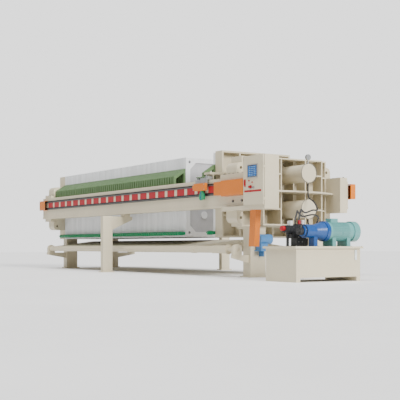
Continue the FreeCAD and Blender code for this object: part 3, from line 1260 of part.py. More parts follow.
def valve_block():
    """Manifold with stacked valves."""
    centre = "valve_place"
    base = block("manifold_base", (f"{centre} - 70", "-1180", LID_TOP), ("150", "175", "190"))
    tower = block("manifold_tower", (f"{centre} - 60", "-1165", f"{LID_TOP} + 189"), ("120", "140", "145"))
    wing = block("manifold_wing", (f"{centre} - 50", "-1370", f"{LID_TOP} + 204"), ("110", "206", "110"))
    prop = rod("manifold_prop", "Z", (centre, "-1300", LID_TOP), "210", "22")
    fittings = []
    for tag in ("upper", "lower"):
        low = (f"{centre} - 35", f"fitting_{tag}", f"{LID_TOP} + 333")
        fittings.append(rod(f"riser_{tag}", "Z", low, f"{FITTING_FLOOR} - {LID_TOP} - 333", "fitting_radius"))
        knee = DOC.addObject("Part::Sphere", f"knee_{tag}")
        bind(knee, "Radius", "fitting_radius")
        fittings.append(place(knee, (low[0], low[1], FITTING_FLOOR)))
        elbow = rod(f"elbow_{tag}", "Z", (low[0], low[1], FITTING_FLOOR), "fitting_length", "fitting_radius")
        elbow.Placement.Rotation = FreeCAD.Rotation(FreeCAD.Vector(0, 0, 1), FITTING_LEAN)
        fittings.append(elbow)
    return fuse("valve_block_solid", [base, tower, wing, prop] + fittings)


subpart("valve_block", valve_block())
subpart("valve_coils", compound("valve_coils_solid", [
    block("coil_near", ("valve_place - 37", "-1275", f"{LID_TOP} + 314"), ("75", "46", "70")),
    block("coil_far", ("valve_place - 3", "-1061", f"{LID_TOP} + 334"), ("60", "42", "62")),
]))
subpart("valve_knobs", compound("valve_knobs_solid", [
    rod("knob_near", "Y", ("valve_place", "-1420", f"{LID_TOP} + 268"), "50", "38"),
    rod("knob_far", "Z", ("valve_place + 25", "-1095", f"{LID_TOP} + 334"), "60", "22"),
]))


def bell_housing():
    """Flared housing between pump and motor, turned about the pump's axis."""
    low_y = "(motor_low - bell_length)"
    neck = rod("bell_neck_ring", "Y", ("motor_place", low_y, "motor_axis"), "0.45 * bell_length", "bell_neck")
    flare = cone("bell_flare", "Y", ("motor_place", f"{low_y} + 0.45 * bell_length", "motor_axis"), "0.4 * bell_length", "bell_neck", "0.92 * bell_flange")
    flange = rod("bell_flange_ring", "Y", ("motor_place", f"{low_y} + 0.85 * bell_length", "motor_axis"), "0.15 * bell_length", "bell_flange")
    pump = rod("pump_end", "Y", ("motor_place", f"{low_y} - 40", "motor_axis"), "42", "0.8 * bell_neck")
    foot = block("bell_foot", ("motor_place - 60", f"{low_y} + 0.36 * bell_length", LID_TOP), ("120", "70", f"motor_axis - {LID_TOP} - 60"))
    return fuse("bell_housing_solid", [neck, flare, flange, pump, foot])


subpart("bell_housing", bell_housing())


def pump_motor():
    """Flange motor with its fan cover, terminal box and feet."""
    body = rod("motor_body", "Y", ("motor_place", "motor_low", "motor_axis"), "motor_length", "motor_radius")
    fan = rod("motor_fan", "Y", ("motor_place", "motor_low + motor_length", "motor_axis"), "fan_length", "fan_radius")
    box = block("motor_box", ("motor_place - 60", "motor_low + 70", "motor_axis + motor_radius - 20"), ("120", "140", "72"))
    feet = []
    for index, start in enumerate(("motor_low + 60", "motor_low + motor_length - 130")):
        feet.append(block(f"motor_foot_{index}", ("motor_place - 110", start, LID_TOP), ("220", "70", f"motor_axis - {LID_TOP} - 90")))
    return fuse("pump_motor_solid", [body, fan, box] + feet)


subpart("pump_motor", pump_motor())


def level_gauge():
    """Sight glass on the tank's end wall."""
    return block("level_gauge_body", ("tank_low + tank_deep", "-tank_near + tank_wide - 118", "tank_top - 170"), ("14", "38", "150"))


subpart("level_gauge", level_gauge())


# ------------------------------------------------------------------ oil hoses
def hose_path(points):
    """Straight runs joined by tangent arcs, each as large as its two runs allow."""
    spots = [FreeCAD.Vector(*point) for point in points]
    edges = []
    start = spots[0]
    radii = []
    for index in range(1, len(spots) - 1):
        back = spots[index - 1] - spots[index]
        ahead = spots[index + 1] - spots[index]
        shorter = 0.45 * min(back.Length, ahead.Length)
        turn = math.pi - back.getAngle(ahead)
        radius = shorter / math.tan(turn / 2)
        radii.append(radius)
        back.normalize()
        ahead.normalize()
        enter = spots[index] + back * shorter
        leave = spots[index] + ahead * shorter
        bisector = (back + ahead)
        bisector.normalize()
        middle = spots[index] + bisector * (radius / math.cos(turn / 2) - radius)
        edges.append(Part.LineSegment(start, enter).toShape())
        edges.append(Part.Arc(enter, middle, leave).toShape())
        start = leave
    edges.append(Part.LineSegment(start, spots[-1]).toShape())
    return Part.Wire(edges), radii


def hose(name, points):
    radius = value("hose_radius")
    path, radii = hose_path(points)
    tangent = path.Edges[0].tangentAt(path.Edges[0].FirstParameter)
    ring = Part.Wire([Part.Circle(FreeCAD.Vector(*points[0]), tangent, radius).toShape()])
    tube = path.makePipeShell([ring], True, True)
    share = tube.Volume / (math.pi * radius ** 2 * path.Length)
    print(f"{name}: length {path.Length:.0f}, smallest radius {min(radii):.0f}, largest {max(radii):.0f}, volume share {share:.4f}")
    if abs(share - 1) > 0.01:
        raise RuntimeError(f"{name} is not a clean tube")
    feature = DOC.addObject("Part::Feature", f"{name}_solid")
    feature.Shape = tube
    return feature


PORT_X = value("cylinder_back + cap_thick / 2")
UPPER_PORT = value(f"{CYLINDER_UPPER} - cylinder_radius - cap_lap - port_rise")
LOWER_PORT = value(f"{CYLINDER_LOWER} - cylinder_radius - cap_lap - port_rise")


def fitting_mouth(side):
    """Centre of the outlet of an inclined fitting on the manifold, less a distance along it."""
    low = FreeCAD.Vector(value("valve_place - 35"), side, value(FITTING_FLOOR))
    return low + FITTING_LEAN * value("fitting_length")


MOUTH_UPPER = fitting_mouth(value("fitting_upper"))
MOUTH_LOWER = fitting_mouth(value("fitting_lower"))

HOSE_UPPER = [
    (PORT_X, 0, UPPER_PORT),
    (PORT_X, 0, UPPER_PORT - 84),
    (2645, -16, 1402),
    (2718, -65, 1330),
    (2848, -79, 1273),
    (2927, -89, 1208),
    (3022, -133, 1128),
    (3116, -229, 1101),
    (3175, -321, 1103),
    (3219, -412, 1100),
    (3266, -514, 1079),
    (3325, -631, 1049),
    (3388, -743, 1051),
    (3448, -826, 1083),
    (3529, -915, 1092),
    tuple(MOUTH_UPPER + FITTING_LEAN * 84),
    tuple(MOUTH_UPPER),
]
HOSE_LOWER = [
    (PORT_X, 0, LOWER_PORT),
    (PORT_X, 0, LOWER_PORT - 50),
    (2659, 9, 836),
    (2727, 15, 783),
    (2809, -6, 769),
    (2911, -73, 795),
    (2992, -142, 837),
    (3060, -194, 881),
    (3153, -236, 947),
    (3215, -283, 990),
    (3250, -370, 1018),
    (3280, -471, 1026),
    (3313, -596, 1008),
    (3352, -712, 985),
    (3386, -804, 997),
    (3430, -887, 1047),
    (3498, -963, 1070),
    (3560, -1020, 1057),
    tuple(MOUTH_LOWER + FITTING_LEAN * 50),
    tuple(MOUTH_LOWER),
]
subpart("hose_upper", hose("hose_upper", HOSE_UPPER))
subpart("hose_lower", hose("hose_lower", HOSE_LOWER))


# ---------------------------------------------------------------------- export
def check_and_export():
    DOC.recompute()
    for thing in DOC.Objects:
        if "Invalid" in thing.State or "Error" in thing.State:
            raise RuntimeError(f"{thing.Name} failed: {thing.State}")
    for thing in SUBPARTS:
        if thing.Shape.isNull() or not thing.Shape.isValid() or not thing.Shape.Solids:
            raise RuntimeError(f"{thing.Label} has no valid solid")
    os.makedirs("parts", exist_ok=True)
    for thing in SUBPARTS:
        thing.Shape.exportStep(f"parts/{thing.Label}.step")
    print(f"{len(SUBPARTS)} sub-parts, {sum(len(thing.Shape.Solids) for thing in SUBPARTS)} solids")


check_and_export()
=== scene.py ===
import math

import bmesh
import bpy
from mathutils import Matrix, Vector


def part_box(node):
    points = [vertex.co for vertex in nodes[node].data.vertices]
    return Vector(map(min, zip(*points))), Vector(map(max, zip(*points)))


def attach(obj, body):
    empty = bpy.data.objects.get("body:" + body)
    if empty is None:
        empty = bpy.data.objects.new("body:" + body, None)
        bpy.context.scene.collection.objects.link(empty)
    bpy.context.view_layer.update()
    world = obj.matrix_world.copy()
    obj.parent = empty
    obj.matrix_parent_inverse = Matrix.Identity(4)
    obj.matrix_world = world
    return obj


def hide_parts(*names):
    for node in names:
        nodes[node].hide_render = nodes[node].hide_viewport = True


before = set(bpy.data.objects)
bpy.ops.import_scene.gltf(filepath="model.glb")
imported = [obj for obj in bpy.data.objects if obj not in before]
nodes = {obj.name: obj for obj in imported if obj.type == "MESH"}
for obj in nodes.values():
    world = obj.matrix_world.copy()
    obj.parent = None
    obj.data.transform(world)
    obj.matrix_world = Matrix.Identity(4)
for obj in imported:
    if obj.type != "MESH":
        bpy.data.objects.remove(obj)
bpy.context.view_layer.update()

scene = bpy.context.scene

# The stack of plates ends here; lengths below are in millimetres from it.
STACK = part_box("front_plate")[1].x


def at(x, y, z):
    """A point of the press in metres, from millimetres with X counted from the stack's front face."""
    return Vector((STACK + x / 1000, y / 1000, z / 1000))


# ------------------------------------------------------------------ camera
cam_data = bpy.data.cameras.new("camera")
cam = bpy.data.objects.new("camera", cam_data)
scene.collection.objects.link(cam)
cam.location = at(13683, -9514, 519)
heading = math.radians(33.571)
look = Vector((-math.cos(heading), math.sin(heading), 0))
cam.rotation_mode = "QUATERNION"
cam.rotation_quaternion = look.to_track_quat("-Z", "Y")
cam_data.sensor_width = 36
PHOTO_WIDTH = 400
FOCAL_PIXELS = 861.55
HORIZON_SHIFT = 46.476
cam_data.lens = FOCAL_PIXELS / PHOTO_WIDTH * cam_data.sensor_width
cam_data.shift_y = HORIZON_SHIFT / PHOTO_WIDTH
cam_data.clip_start = 0.1
cam_data.clip_end = 200
scene.camera = cam


# --------------------------------------------------------------- materials
def lin(*rgb):
    """Linear colour of display values from 0 to 255."""
    return tuple(((c / 255 + 0.055) / 1.055) ** 2.4 if c > 10 else c / 255 / 12.92 for c in rgb) + (1.0,)


class Mat:
    """A small helper to write node materials."""

    def __init__(self, name, rough=0.5, metal=0.0, spec=0.5, coat=0.0):
        self.m = bpy.data.materials.new(name)
        self.m.use_nodes = True
        self.t = self.m.node_tree
        self.t.nodes.clear()
        self.out = self.t.nodes.new("ShaderNodeOutputMaterial")
        self.p = self.t.nodes.new("ShaderNodeBsdfPrincipled")
        self.p.inputs["Roughness"].default_value = rough
        self.p.inputs["Metallic"].default_value = metal
        self.p.inputs["Specular IOR Level"].default_value = spec
        if coat:
            self.p.inputs["Coat Weight"].default_value = coat
            self.p.inputs["Coat Roughness"].default_value = 0.2
        self.t.links.new(self.p.outputs[0], self.out.inputs[0])
        self.co = self.t.nodes.new("ShaderNodeTexCoord").outputs["Object"]

    def node(self, kind, **values):
        n = self.t.nodes.new(kind)
        for k, v in values.items():
            setattr(n, k, v)
        return n

    def link(self, a, b):
        self.t.links.new(a, b)

    def scaled(self, x, y, z):
        n = self.node("ShaderNodeMapping")
        n.inputs["Scale"].default_value = (x, y, z)
        self.link(self.co, n.inputs["Vector"])
        return n.outputs[0]

    def noise(self, scale, detail=3, rough=0.55, vector=None):
        n = self.node("ShaderNodeTexNoise")
        n.inputs["Scale"].default_value = scale
        n.inputs["Detail"].default_value = detail
        n.inputs["Roughness"].default_value = rough
        self.link(vector or self.co, n.inputs["Vector"])
        return n.outputs["Fac"]

    def ramp(self, fac, stops):
        n = self.node("ShaderNodeValToRGB")
        e = n.color_ramp.elements
        while len(e) < len(stops):
            e.new(0.5)
        for slot, (pos, col) in zip(e, stops):
            slot.position = pos
            slot.color = col if len(col) == 4 else (*col, 1)
        self.link(fac, n.inputs["Fac"])
        return n.outputs["Color"]

    def mix(self, fac, a, b, kind="MIX"):
        n = self.node("ShaderNodeMix", data_type="RGBA", blend_type=kind)
        for value, socket in ((fac, n.inputs["Factor"]), (a, n.inputs["A"]), (b, n.inputs["B"])):
            if hasattr(value, "links"):
                self.link(value, socket)
            else:
                socket.default_value = value
        return n.outputs["Result"]

    def spread(self, fac, low, high, a=0.3, b=0.7):
        n = self.node("ShaderNodeMapRange")
        n.inputs["From Min"].default_value = a
        n.inputs["From Max"].default_value = b
        n.inputs["To Min"].default_value = low
        n.inputs["To Max"].default_value = high
        self.link(fac, n.inputs["Value"])
        return n.outputs["Result"]

    def math(self, kind, a, b=None):
        n = self.node("ShaderNodeMath", operation=kind)
        for value, socket in ((a, n.inputs[0]), (b, n.inputs[1])):
            if value is None:
                continue
            if hasattr(value, "links"):
                self.link(value, socket)
            else:
                socket.default_value = value
        return n.outputs[0]

    def color(self, socket):
        self.link(socket, self.p.inputs["Base Color"])

    def rough(self, socket):
        self.link(socket, self.p.inputs["Roughness"])

    def bump(self, height, strength=0.2, distance=0.002):
        n = self.node("ShaderNodeBump")
        n.inputs["Strength"].default_value = strength
        n.inputs["Distance"].default_value = distance
        self.link(height, n.inputs["Height"])
        self.link(n.outputs[0], self.p.inputs["Normal"])


def shade(c, k):
    """A colour made darker or lighter by a factor."""
    return tuple(min(1, x * k) for x in c[:3]) + (1.0,)


def paint(name, rgb, rough=0.36, dust=0.5, peel=0.12, coat=0.0, spec=0.5):
    """Sprayed enamel: faint colour drift, random blotches of brownish dust, orange peel."""
    m = Mat(name, rough, 0.0, spec, coat)
    c = lin(*rgb)
    drift = m.noise(1.7, 4, 0.6)
    base = m.ramp(drift, [(0.3, shade(c, 0.955)), (0.7, shade(c, 1.03))])
    blot = m.noise(7.0, 6, 0.7)
    grime = m.spread(blot, 0.0, 0.28 * dust, 0.56, 0.74)
    base = m.mix(grime, base, shade((c[0] * 0.86, c[1] * 0.8, c[2] * 0.7), 0.82))
    fine = m.noise(46.0, 3, 0.6)
    base = m.mix(m.spread(fine, 0.0, 0.09 * dust, 0.5, 0.72), base, (0.9, 0.88, 0.84, 1))
    m.color(base)
    m.rough(m.spread(blot, rough - 0.05, rough + 0.12))
    m.bump(m.noise(420.0, 2, 0.5), peel, 0.0006)
    return m.m


def plastic(name, rgb, rough=0.45, var=0.06, grain=260.0, bump=0.12, spec=0.5):
    m = Mat(name, rough, 0.0, spec)
    c = lin(*rgb)
    m.color(m.ramp(m.noise(5.0, 5, 0.6), [(0.3, shade(c, 1 - var)), (0.72, shade(c, 1 + var * 0.6))]))
    m.rough(m.spread(m.noise(11.0, 3), rough - 0.06, rough + 0.1))
    m.bump(m.noise(grain, 2), bump, 0.0005)
    return m.m


def steel(name, rgb, rough=0.32, metal=0.9, axis=(1, 40, 40), spec=0.5):
    """Machined or brushed metal with fine streaks along one axis and a few dull patches."""
    m = Mat(name, rough, metal, spec)
    c = lin(*rgb)
    streak = m.noise(9.0, 5, 0.7, m.scaled(*axis))
    patch = m.noise(6.0, 4, 0.6)
    base = m.ramp(streak, [(0.25, shade(c, 0.82)), (0.75, shade(c, 1.1))])
    m.color(m.mix(m.spread(patch, 0.0, 0.3, 0.52, 0.75), base, shade(c, 0.6)))
    m.rough(m.spread(streak, rough - 0.08, rough + 0.14))
    m.bump(streak, 0.12, 0.0004)
    return m.m


CREAM = (200, 190, 164)
cream = paint("enamel_cream", CREAM, 0.4)
orange = paint("enamel_orange", (206, 110, 0), 0.34, 0.35, coat=0.15)
teal = paint("enamel_teal", (90, 148, 146), 0.3, 0.35, coat=0.2)
blue = paint("enamel_blue", (0, 66, 132), 0.3, 0.3, coat=0.25)
pale_blue = paint("enamel_pale_blue", (62, 122, 178), 0.32, 0.4, coat=0.2)
black = paint("enamel_black", (24, 25, 27), 0.42, 0.5)
rail = paint("rail_dark", (44, 44, 46), 0.45, 0.7)
red = plastic("nylon_red", (160, 2, 20), 0.38, 0.08)
green_handle = plastic("nylon_olive", (84, 112, 70), 0.5, 0.14)
green_tap = plastic("nylon_teal_green", (14, 140, 92), 0.4, 0.1)
white_coil = plastic("coil_white", (222, 222, 218), 0.45)
grey_plastic = plastic("plastic_grey", (150, 150, 150), 0.5)
dark_plastic = plastic("plastic_dark", (34, 35, 38), 0.45)
zinc = steel("zinc_plated", (178, 180, 180), 0.35, 0.85)
dull_steel = steel("steel_dull", (120, 120, 118), 0.45, 0.8)
chrome = steel("rod_chrome", (225, 226, 228), 0.12, 1.0, (1, 60, 60))


def plate_material(name, rgb, pitch=0.09, shade_low=0.9):
    """Moulded polypropylene; every plate in the stack has its own slight tint and streaks."""
    m = Mat(name, 0.5, 0.0, 0.4)
    c = lin(*rgb)
    sep = m.node("ShaderNodeSeparateXYZ")
    m.link(m.co, sep.inputs[0])
    number = m.math("FLOOR", m.math("DIVIDE", m.math("SUBTRACT", sep.outputs["X"], STACK), pitch))
    white = m.node("ShaderNodeTexWhiteNoise", noise_dimensions="1D")
    m.link(number, white.inputs["W"])
    tints = [(0.0, shade(c, shade_low)), (0.5, shade(c, 0.97)), (1.0, shade(c, 1.04))]
    tint = m.ramp(white.outputs["Value"], tints)
    streak = m.noise(3.0, 5, 0.65, m.scaled(14, 3, 1.1))
    soil = m.ramp(streak, [(0.35, (0.80, 0.80, 0.79)), (0.62, (1, 1, 1))])
    m.color(m.mix(0.55, tint, soil, "MULTIPLY"))
    m.rough(m.spread(streak, 0.42, 0.6))
    m.bump(m.noise(300.0, 2), 0.1, 0.0005)
    return m.m


plate_white = plate_material("polypropylene_white", (232, 233, 235))


def recess_material():
    """Front plate: white rim, and the chamber's grey filter cloth with drainage pips and dark channel
    bands; the chamber's grey is partly the cloth's own colour and partly painted shade of the recess, and
    the dark pip dots and channel bands are painted shade in the dimples and grooves.
    """
    m = Mat("plate_with_cloth", 0.62, 0.0, 0.35)
    white = lin(226, 227, 229)
    grey = lin(190, 190, 193)
    sep = m.node("ShaderNodeSeparateXYZ")
    m.link(m.co, sep.inputs[0])
    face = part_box("front_plate")[1].x
    middle, half = 1.45, 0.66
    deep = m.math("LESS_THAN", sep.outputs["X"], face - 0.008)
    inner = m.math("LESS_THAN", m.math("ABSOLUTE", sep.outputs["Y"]), half)
    top = m.math("LESS_THAN", m.math("ABSOLUTE", m.math("SUBTRACT", sep.outputs["Z"], middle)), half)
    mask = m.math("MULTIPLY", m.math("MULTIPLY", deep, inner), top)
    pip = m.node("ShaderNodeTexVoronoi", feature="F1")
    pip.inputs["Scale"].default_value = 62.0
    channel_shade_bands = m.node("ShaderNodeTexWave", wave_type="BANDS", bands_direction="Y")
    channel_shade_bands.inputs["Scale"].default_value = 11.0
    channel_shade_bands.inputs["Distortion"].default_value = 0.15
    m.link(m.co, channel_shade_bands.inputs["Vector"])
    pip.inputs["Randomness"].default_value = 0.12
    m.link(m.co, pip.inputs["Vector"])
    blotch = m.noise(3.2, 6, 0.7)
    # The cloth's grey is partly its own colour and partly painted shade of the recess.
    cloth = m.mix(m.spread(blotch, 0.0, 0.8), shade(grey, 0.82), shade(grey, 1.08))
    # Painted shade: dark dots in the pip dimples and dark bands in the drainage channels.
    cloth = m.mix(m.spread(pip.outputs["Distance"], 0.35, 0.0, 0.1, 0.4), cloth, shade(grey, 0.6))
    cloth = m.mix(m.spread(channel_shade_bands.outputs["Fac"], 0.0, 0.5, 0.55, 0.95), cloth, shade(grey, 0.72))
    streak = m.noise(4.0, 4, 0.6, m.scaled(1, 3, 1))
    rim = m.ramp(streak, [(0.3, shade(white, 0.92)), (0.7, shade(white, 1.03))])
    m.color(m.mix(mask, rim, cloth))
    m.bump(m.math("MULTIPLY", pip.outputs["Distance"], mask), 0.35, 0.004)
    return m.m


plate_cloth = recess_material()


def hose_material():
    m = Mat("hose_rubber", 0.5, 0.0, 0.4)
    band = m.noise(90.0, 4, 0.6)
    m.color(m.ramp(band, [(0.3, (0.012, 0.012, 0.014)), (0.75, (0.035, 0.035, 0.038))]))
    m.rough(m.spread(band, 0.4, 0.62))
    weave = m.node("ShaderNodeTexVoronoi", feature="F1")
    weave.inputs["Scale"].default_value = 420.0
    m.link(m.co, weave.inputs["Vector"])
    m.bump(weave.outputs["Distance"], 0.35, 0.0006)
    return m.m


rubber = hose_material()


def glass_material():
    m = Mat("gauge_glass", 0.08, 0.0, 0.6)
    m.color(m.ramp(m.noise(14.0, 3), [(0.3, lin(196, 204, 206)), (0.7, lin(224, 230, 231))]))
    m.rough(m.spread(m.noise(60.0, 3), 0.05, 0.16))
    return m.m


glass = glass_material()

LOOKS = {
    cream: ["beam_near", "beam_far", "beam_clamps", "thrust_plate", "thrust_legs", "mid_supports",
            "moving_head", "cylinder_seat", "tie_plate", "seat_legs", "cylinder_upper", "cylinder_lower",
            "cabinet_shell", "cabinet_door", "cabinet_shelf", "tank", "tank_lid", "flap_near", "flap_far",
            "flap_bearings"],
    orange: ["idler_covers", "drive_covers", "shifter_cover_near", "shifter_cover_far", "cable_duct"],
    plate_white: ["filter_plates", "head_plate"],
    plate_cloth: ["front_plate"],
    green_handle: ["handle_roots", "handle_roofs", "handle_walls", "head_handles"],
    green_tap: ["discharge_taps", "head_tap", "shifter_grip"],
    rail: ["chain_rails"],
    red: ["guard_blocks", "valve_knobs", "door_controls"],
    dull_steel: ["drive_chains", "cabinet_internals"],
    zinc: ["pressure_gauge", "head_rollers", "shifter_frame_near", "shifter_frame_far"],
    chrome: ["piston_rods"],
    black: ["valve_block"],
    blue: ["bell_housing"],
    teal: ["pump_motor"],
    pale_blue: ["flap_drive"],
    white_coil: ["valve_coils"],
    dark_plastic: ["hmi_panel"],
    rubber: ["hose_upper", "hose_lower"],
    glass: ["level_gauge"],
}
for material, names in LOOKS.items():
    for name in names:
        target = nodes[name]
        if not target.material_slots:
            target.data.materials.append(material)
        for slot in target.material_slots:
            slot.material = material


# ------------------------------------------------------------ added pieces
def finish_piece(name, bm, material, body, bevel=0.0):
    """Turns a bmesh in metres into a piece that rides on a body."""
    mesh = bpy.data.meshes.new(name)
    bmesh.ops.recalc_face_normals(bm, faces=bm.faces)
    bm.to_mesh(mesh)
    bm.free()
    mesh.materials.append(material)
    piece = bpy.data.objects.new(name, mesh)
    scene.collection.objects.link(piece)
    if bevel:
        edge = piece.modifiers.new("bevel", "BEVEL")
        edge.width = bevel
        edge.segments = 2
        edge.limit_method = "ANGLE"
    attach(piece, body)
    return piece


def add_box(bm, low, high):
    """A box between two corners given in drawn millimetres."""
    low, high = at(*low), at(*high)
    made = bmesh.ops.create_cube(bm, size=1)["verts"]
    size = high - low
    bmesh.ops.scale(bm, vec=size, verts=made)
    bmesh.ops.translate(bm, vec=(low + high) / 2, verts=made)


def boxes(name, spans, material, body="base", bevel=0.0015):
    bm = bmesh.new()
    for low, high in spans:
        add_box(bm, low, high)
    return finish_piece(name, bm, material, body, bevel)


def add_rod(bm, centre, axis, length, radius, sides=24):
    """A rod in drawn millimetres that starts at centre and runs along axis."""
    direction = Vector(axis).normalized()
    turn = direction.to_track_quat("Z", "Y").to_matrix().to_4x4()
    middle = at(*centre) + direction * length / 2000
    made = bmesh.ops.create_cone(bm, cap_ends=True, segments=sides, radius1=radius / 1000,
                                 radius2=radius / 1000, depth=length / 1000)["verts"]
    bmesh.ops.transform(bm, matrix=Matrix.Translation(middle) @ turn, verts=made)


def rods(name, spans, material, body="base", sides=24, bevel=0.0008):
    bm = bmesh.new()
    for centre, axis, length, radius in spans:
        add_rod(bm, centre, axis, length, radius, sides)
    return finish_piece(name, bm, material, body, bevel)


def bolts(name, points, axis, radius, material=None, body="base", head=0.65):
    """Hexagon bolts with washers at the given points, in drawn millimetres."""
    bm = bmesh.new()
    for point in points:
        add_rod(bm, point, axis, radius * 0.22, radius * 1.25, 20)
        add_rod(bm, point, axis, radius * (0.22 + head), radius, 6)
    return finish_piece(name, bm, material or zinc, body, 0.0006)


def ring_points(centre, axis, radius, count, start=0.0):
    """Points round a circle about the X, Y or Z axis."""
    points = []
    for index in range(count):
        angle = start + 2 * math.pi * index / count
        u, v = radius * math.cos(angle), radius * math.sin(angle)
        step = {"x": (0, u, v), "y": (u, 0, v), "z": (u, v, 0)}[axis]
        points.append(tuple(a + b for a, b in zip(centre, step)))
    return points


# Deep ribbed middle of the cylinder seat, behind its slab.
SEAT_BACK, SEAT_DEEP, SEAT_SIDE, SEAT_LOW, SEAT_HIGH = 2022, 2253, 655, 876, 2026
seat_walls = []
for z in (SEAT_LOW, SEAT_HIGH - 24):
    seat_walls.append(((SEAT_BACK, -SEAT_SIDE, z), (SEAT_DEEP, SEAT_SIDE, z + 24)))
for y in (-SEAT_SIDE, -280, 256, SEAT_SIDE - 24):
    seat_walls.append(((SEAT_BACK, y, SEAT_LOW + 24), (SEAT_DEEP, y + 24, SEAT_HIGH - 24)))
for z in (1142, 1738):
    for low_y, high_y in ((-SEAT_SIDE + 24, -280), (280, SEAT_SIDE - 24)):
        seat_walls.append(((SEAT_BACK, low_y, z), (SEAT_DEEP, high_y, z + 24)))
boxes("seat_ribbed_middle", seat_walls, cream, bevel=0.003)

# Rims on the ends of the cylinders.
for tag, z in (("upper", 1750), ("lower", 1150)):
    bm = bmesh.new()
    for radius in (0.172, 0.166):
        bmesh.ops.create_circle(bm, segments=72, radius=radius)
    bmesh.ops.bridge_loops(bm, edges=bm.edges)
    grown = bmesh.ops.extrude_face_region(bm, geom=bm.faces[:])["geom"]
    raised = [v for v in grown if isinstance(v, bmesh.types.BMVert)]
    bmesh.ops.translate(bm, vec=(0, 0, 0.004), verts=raised)
    turn = Matrix.Translation(at(2655, 0, z)) @ Matrix.Rotation(math.pi / 2, 4, "Y")
    bmesh.ops.transform(bm, matrix=turn, verts=bm.verts)
    finish_piece(f"cap_rim_{tag}", bm, dull_steel, "base")

# Bolts on top of the clamping plates, at both ends of the beams.
CLAMP_TOP = 1735
clamps = {"nose": (1690, 2350, 6), "back": (-5790, -5420, 4)}
for tag, (low_x, high_x, count) in clamps.items():
    tops = []
    for sign in (-1, 1):
        for index in range(count):
            x = low_x + (high_x - low_x) * index / (count - 1)
            tops.append((x, sign * 1060, CLAMP_TOP))
    bolts(f"clamp_bolts_{tag}_top", tops, (0, 0, 1), 17, dull_steel)
BEAM_FACE = -1125
bolts("beam_side_bolts", [(2040, BEAM_FACE, 1275), (2290, BEAM_FACE, 1275)], (0, -1, 0), 20, dull_steel)

# Touch screen, its light frame, and bare plates on the cabinet.
def screen_material():
    """Lit screen: a blue field with paler rows of generic fields."""
    m = Mat("screen_lit", 0.18, 0.0, 0.6)
    sep = m.node("ShaderNodeSeparateXYZ")
    m.link(m.co, sep.inputs[0])
    rows = m.math("GREATER_THAN", m.math("FRACT", m.math("MULTIPLY", sep.outputs["Z"], 34.0)), 0.55)
    columns = m.math("GREATER_THAN", m.math("FRACT", m.math("MULTIPLY", sep.outputs["X"], 17.0)), 0.3)
    field = m.math("MULTIPLY", m.math("MULTIPLY", rows, columns), 0.55)
    sky = m.ramp(m.noise(9.0, 3), [(0.3, lin(18, 62, 128)), (0.7, lin(36, 104, 178))])
    m.color(m.mix(field, sky, lin(150, 196, 226)))
    m.rough(m.spread(m.noise(40.0, 2), 0.12, 0.24))
    return m.m


def drawn(point):
    """Drawn millimetres of a point in the frame."""
    return ((point.x - STACK) * 1000, point.y * 1000, point.z * 1000)


low, high = (drawn(corner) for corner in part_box("hmi_panel"))
pane = ((low[0] + 22, low[1] - 1.5, low[2] + 20), (high[0] - 22, low[1] + 3, high[2] - 20))
boxes("screen_glass", [pane], screen_material(), "cabinet_door", 0.0006)
frame_bars = [((low[0] - 6, low[1] - 1, low[2] - 6), (high[0] + 6, low[1] + 9, low[2] + 8)),
              ((low[0] - 6, low[1] - 1, high[2] - 8), (high[0] + 6, low[1] + 9, high[2] + 6)),
              ((low[0] - 6, low[1] - 1, low[2] + 8), (low[0] + 8, low[1] + 9, high[2] - 8)),
              ((high[0] - 8, low[1] - 1, low[2] + 8), (high[0] + 6, low[1] + 9, high[2] - 8))]
boxes("screen_frame", frame_bars, grey_plastic, "cabinet_door", 0.001)
low, high = (drawn(corner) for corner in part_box("cabinet_door"))
DOOR_FACE = -1241
strip = ((low[0] + 30, DOOR_FACE - 2, 1388), (high[0] - 60, DOOR_FACE + 1, 1420))
plate = ((low[0] + 150, DOOR_FACE - 2, 1440), (low[0] + 300, DOOR_FACE + 1, 1478))
boxes("door_strip", [strip], red, "cabinet_door", 0.0004)
boxes("door_plate", [plate], zinc, "cabinet_door", 0.0004)


# The axis of pump and motor.
PUMP_X, PUMP_Z = 3975, 745

# Oil pump on the bell housing's neck, its flange and outlet.
bm = bmesh.new()
add_rod(bm, (PUMP_X, -1240, PUMP_Z), (0, -1, 0), 16, 84, 32)
add_rod(bm, (PUMP_X, -1256, PUMP_Z), (0, -1, 0), 92, 58, 32)
add_rod(bm, (PUMP_X, -1348, PUMP_Z), (0, -1, 0), 14, 44, 32)
add_rod(bm, (PUMP_X, -1300, 795), (0, 0, 1), 40, 30, 24)
finish_piece("oil_pump", bm, black, "base", 0.002)
bolts("oil_pump_bolts", ring_points((PUMP_X, -1256, PUMP_Z), "y", 72, 6, 0.3), (0, -1, 0), 8, zinc)

# Manifold plates and plugs of the valve block.
manifold = [
    ((3620, -1240, 640), (3740, -1175, 752)),
    ((3628, -1170, 760), (3728, -1090, 812)),
    ((3632, -1290, 700), (3700, -1240, 748)),
    ((3610, -1000, 524), (3745, -960, 640)),
]
boxes("manifold_plates", manifold, black, "base", 0.003)
plugs = [((3745, y, z), (1, 0, 0), 12, 13) for y in (-1150, -1080) for z in (590, 660, 730)]
plugs += [((3680, y, 812), (0, 0, 1), 14, 12) for y in (-1150, -1110)]
rods("manifold_plugs", plugs, dull_steel, "base", 6)

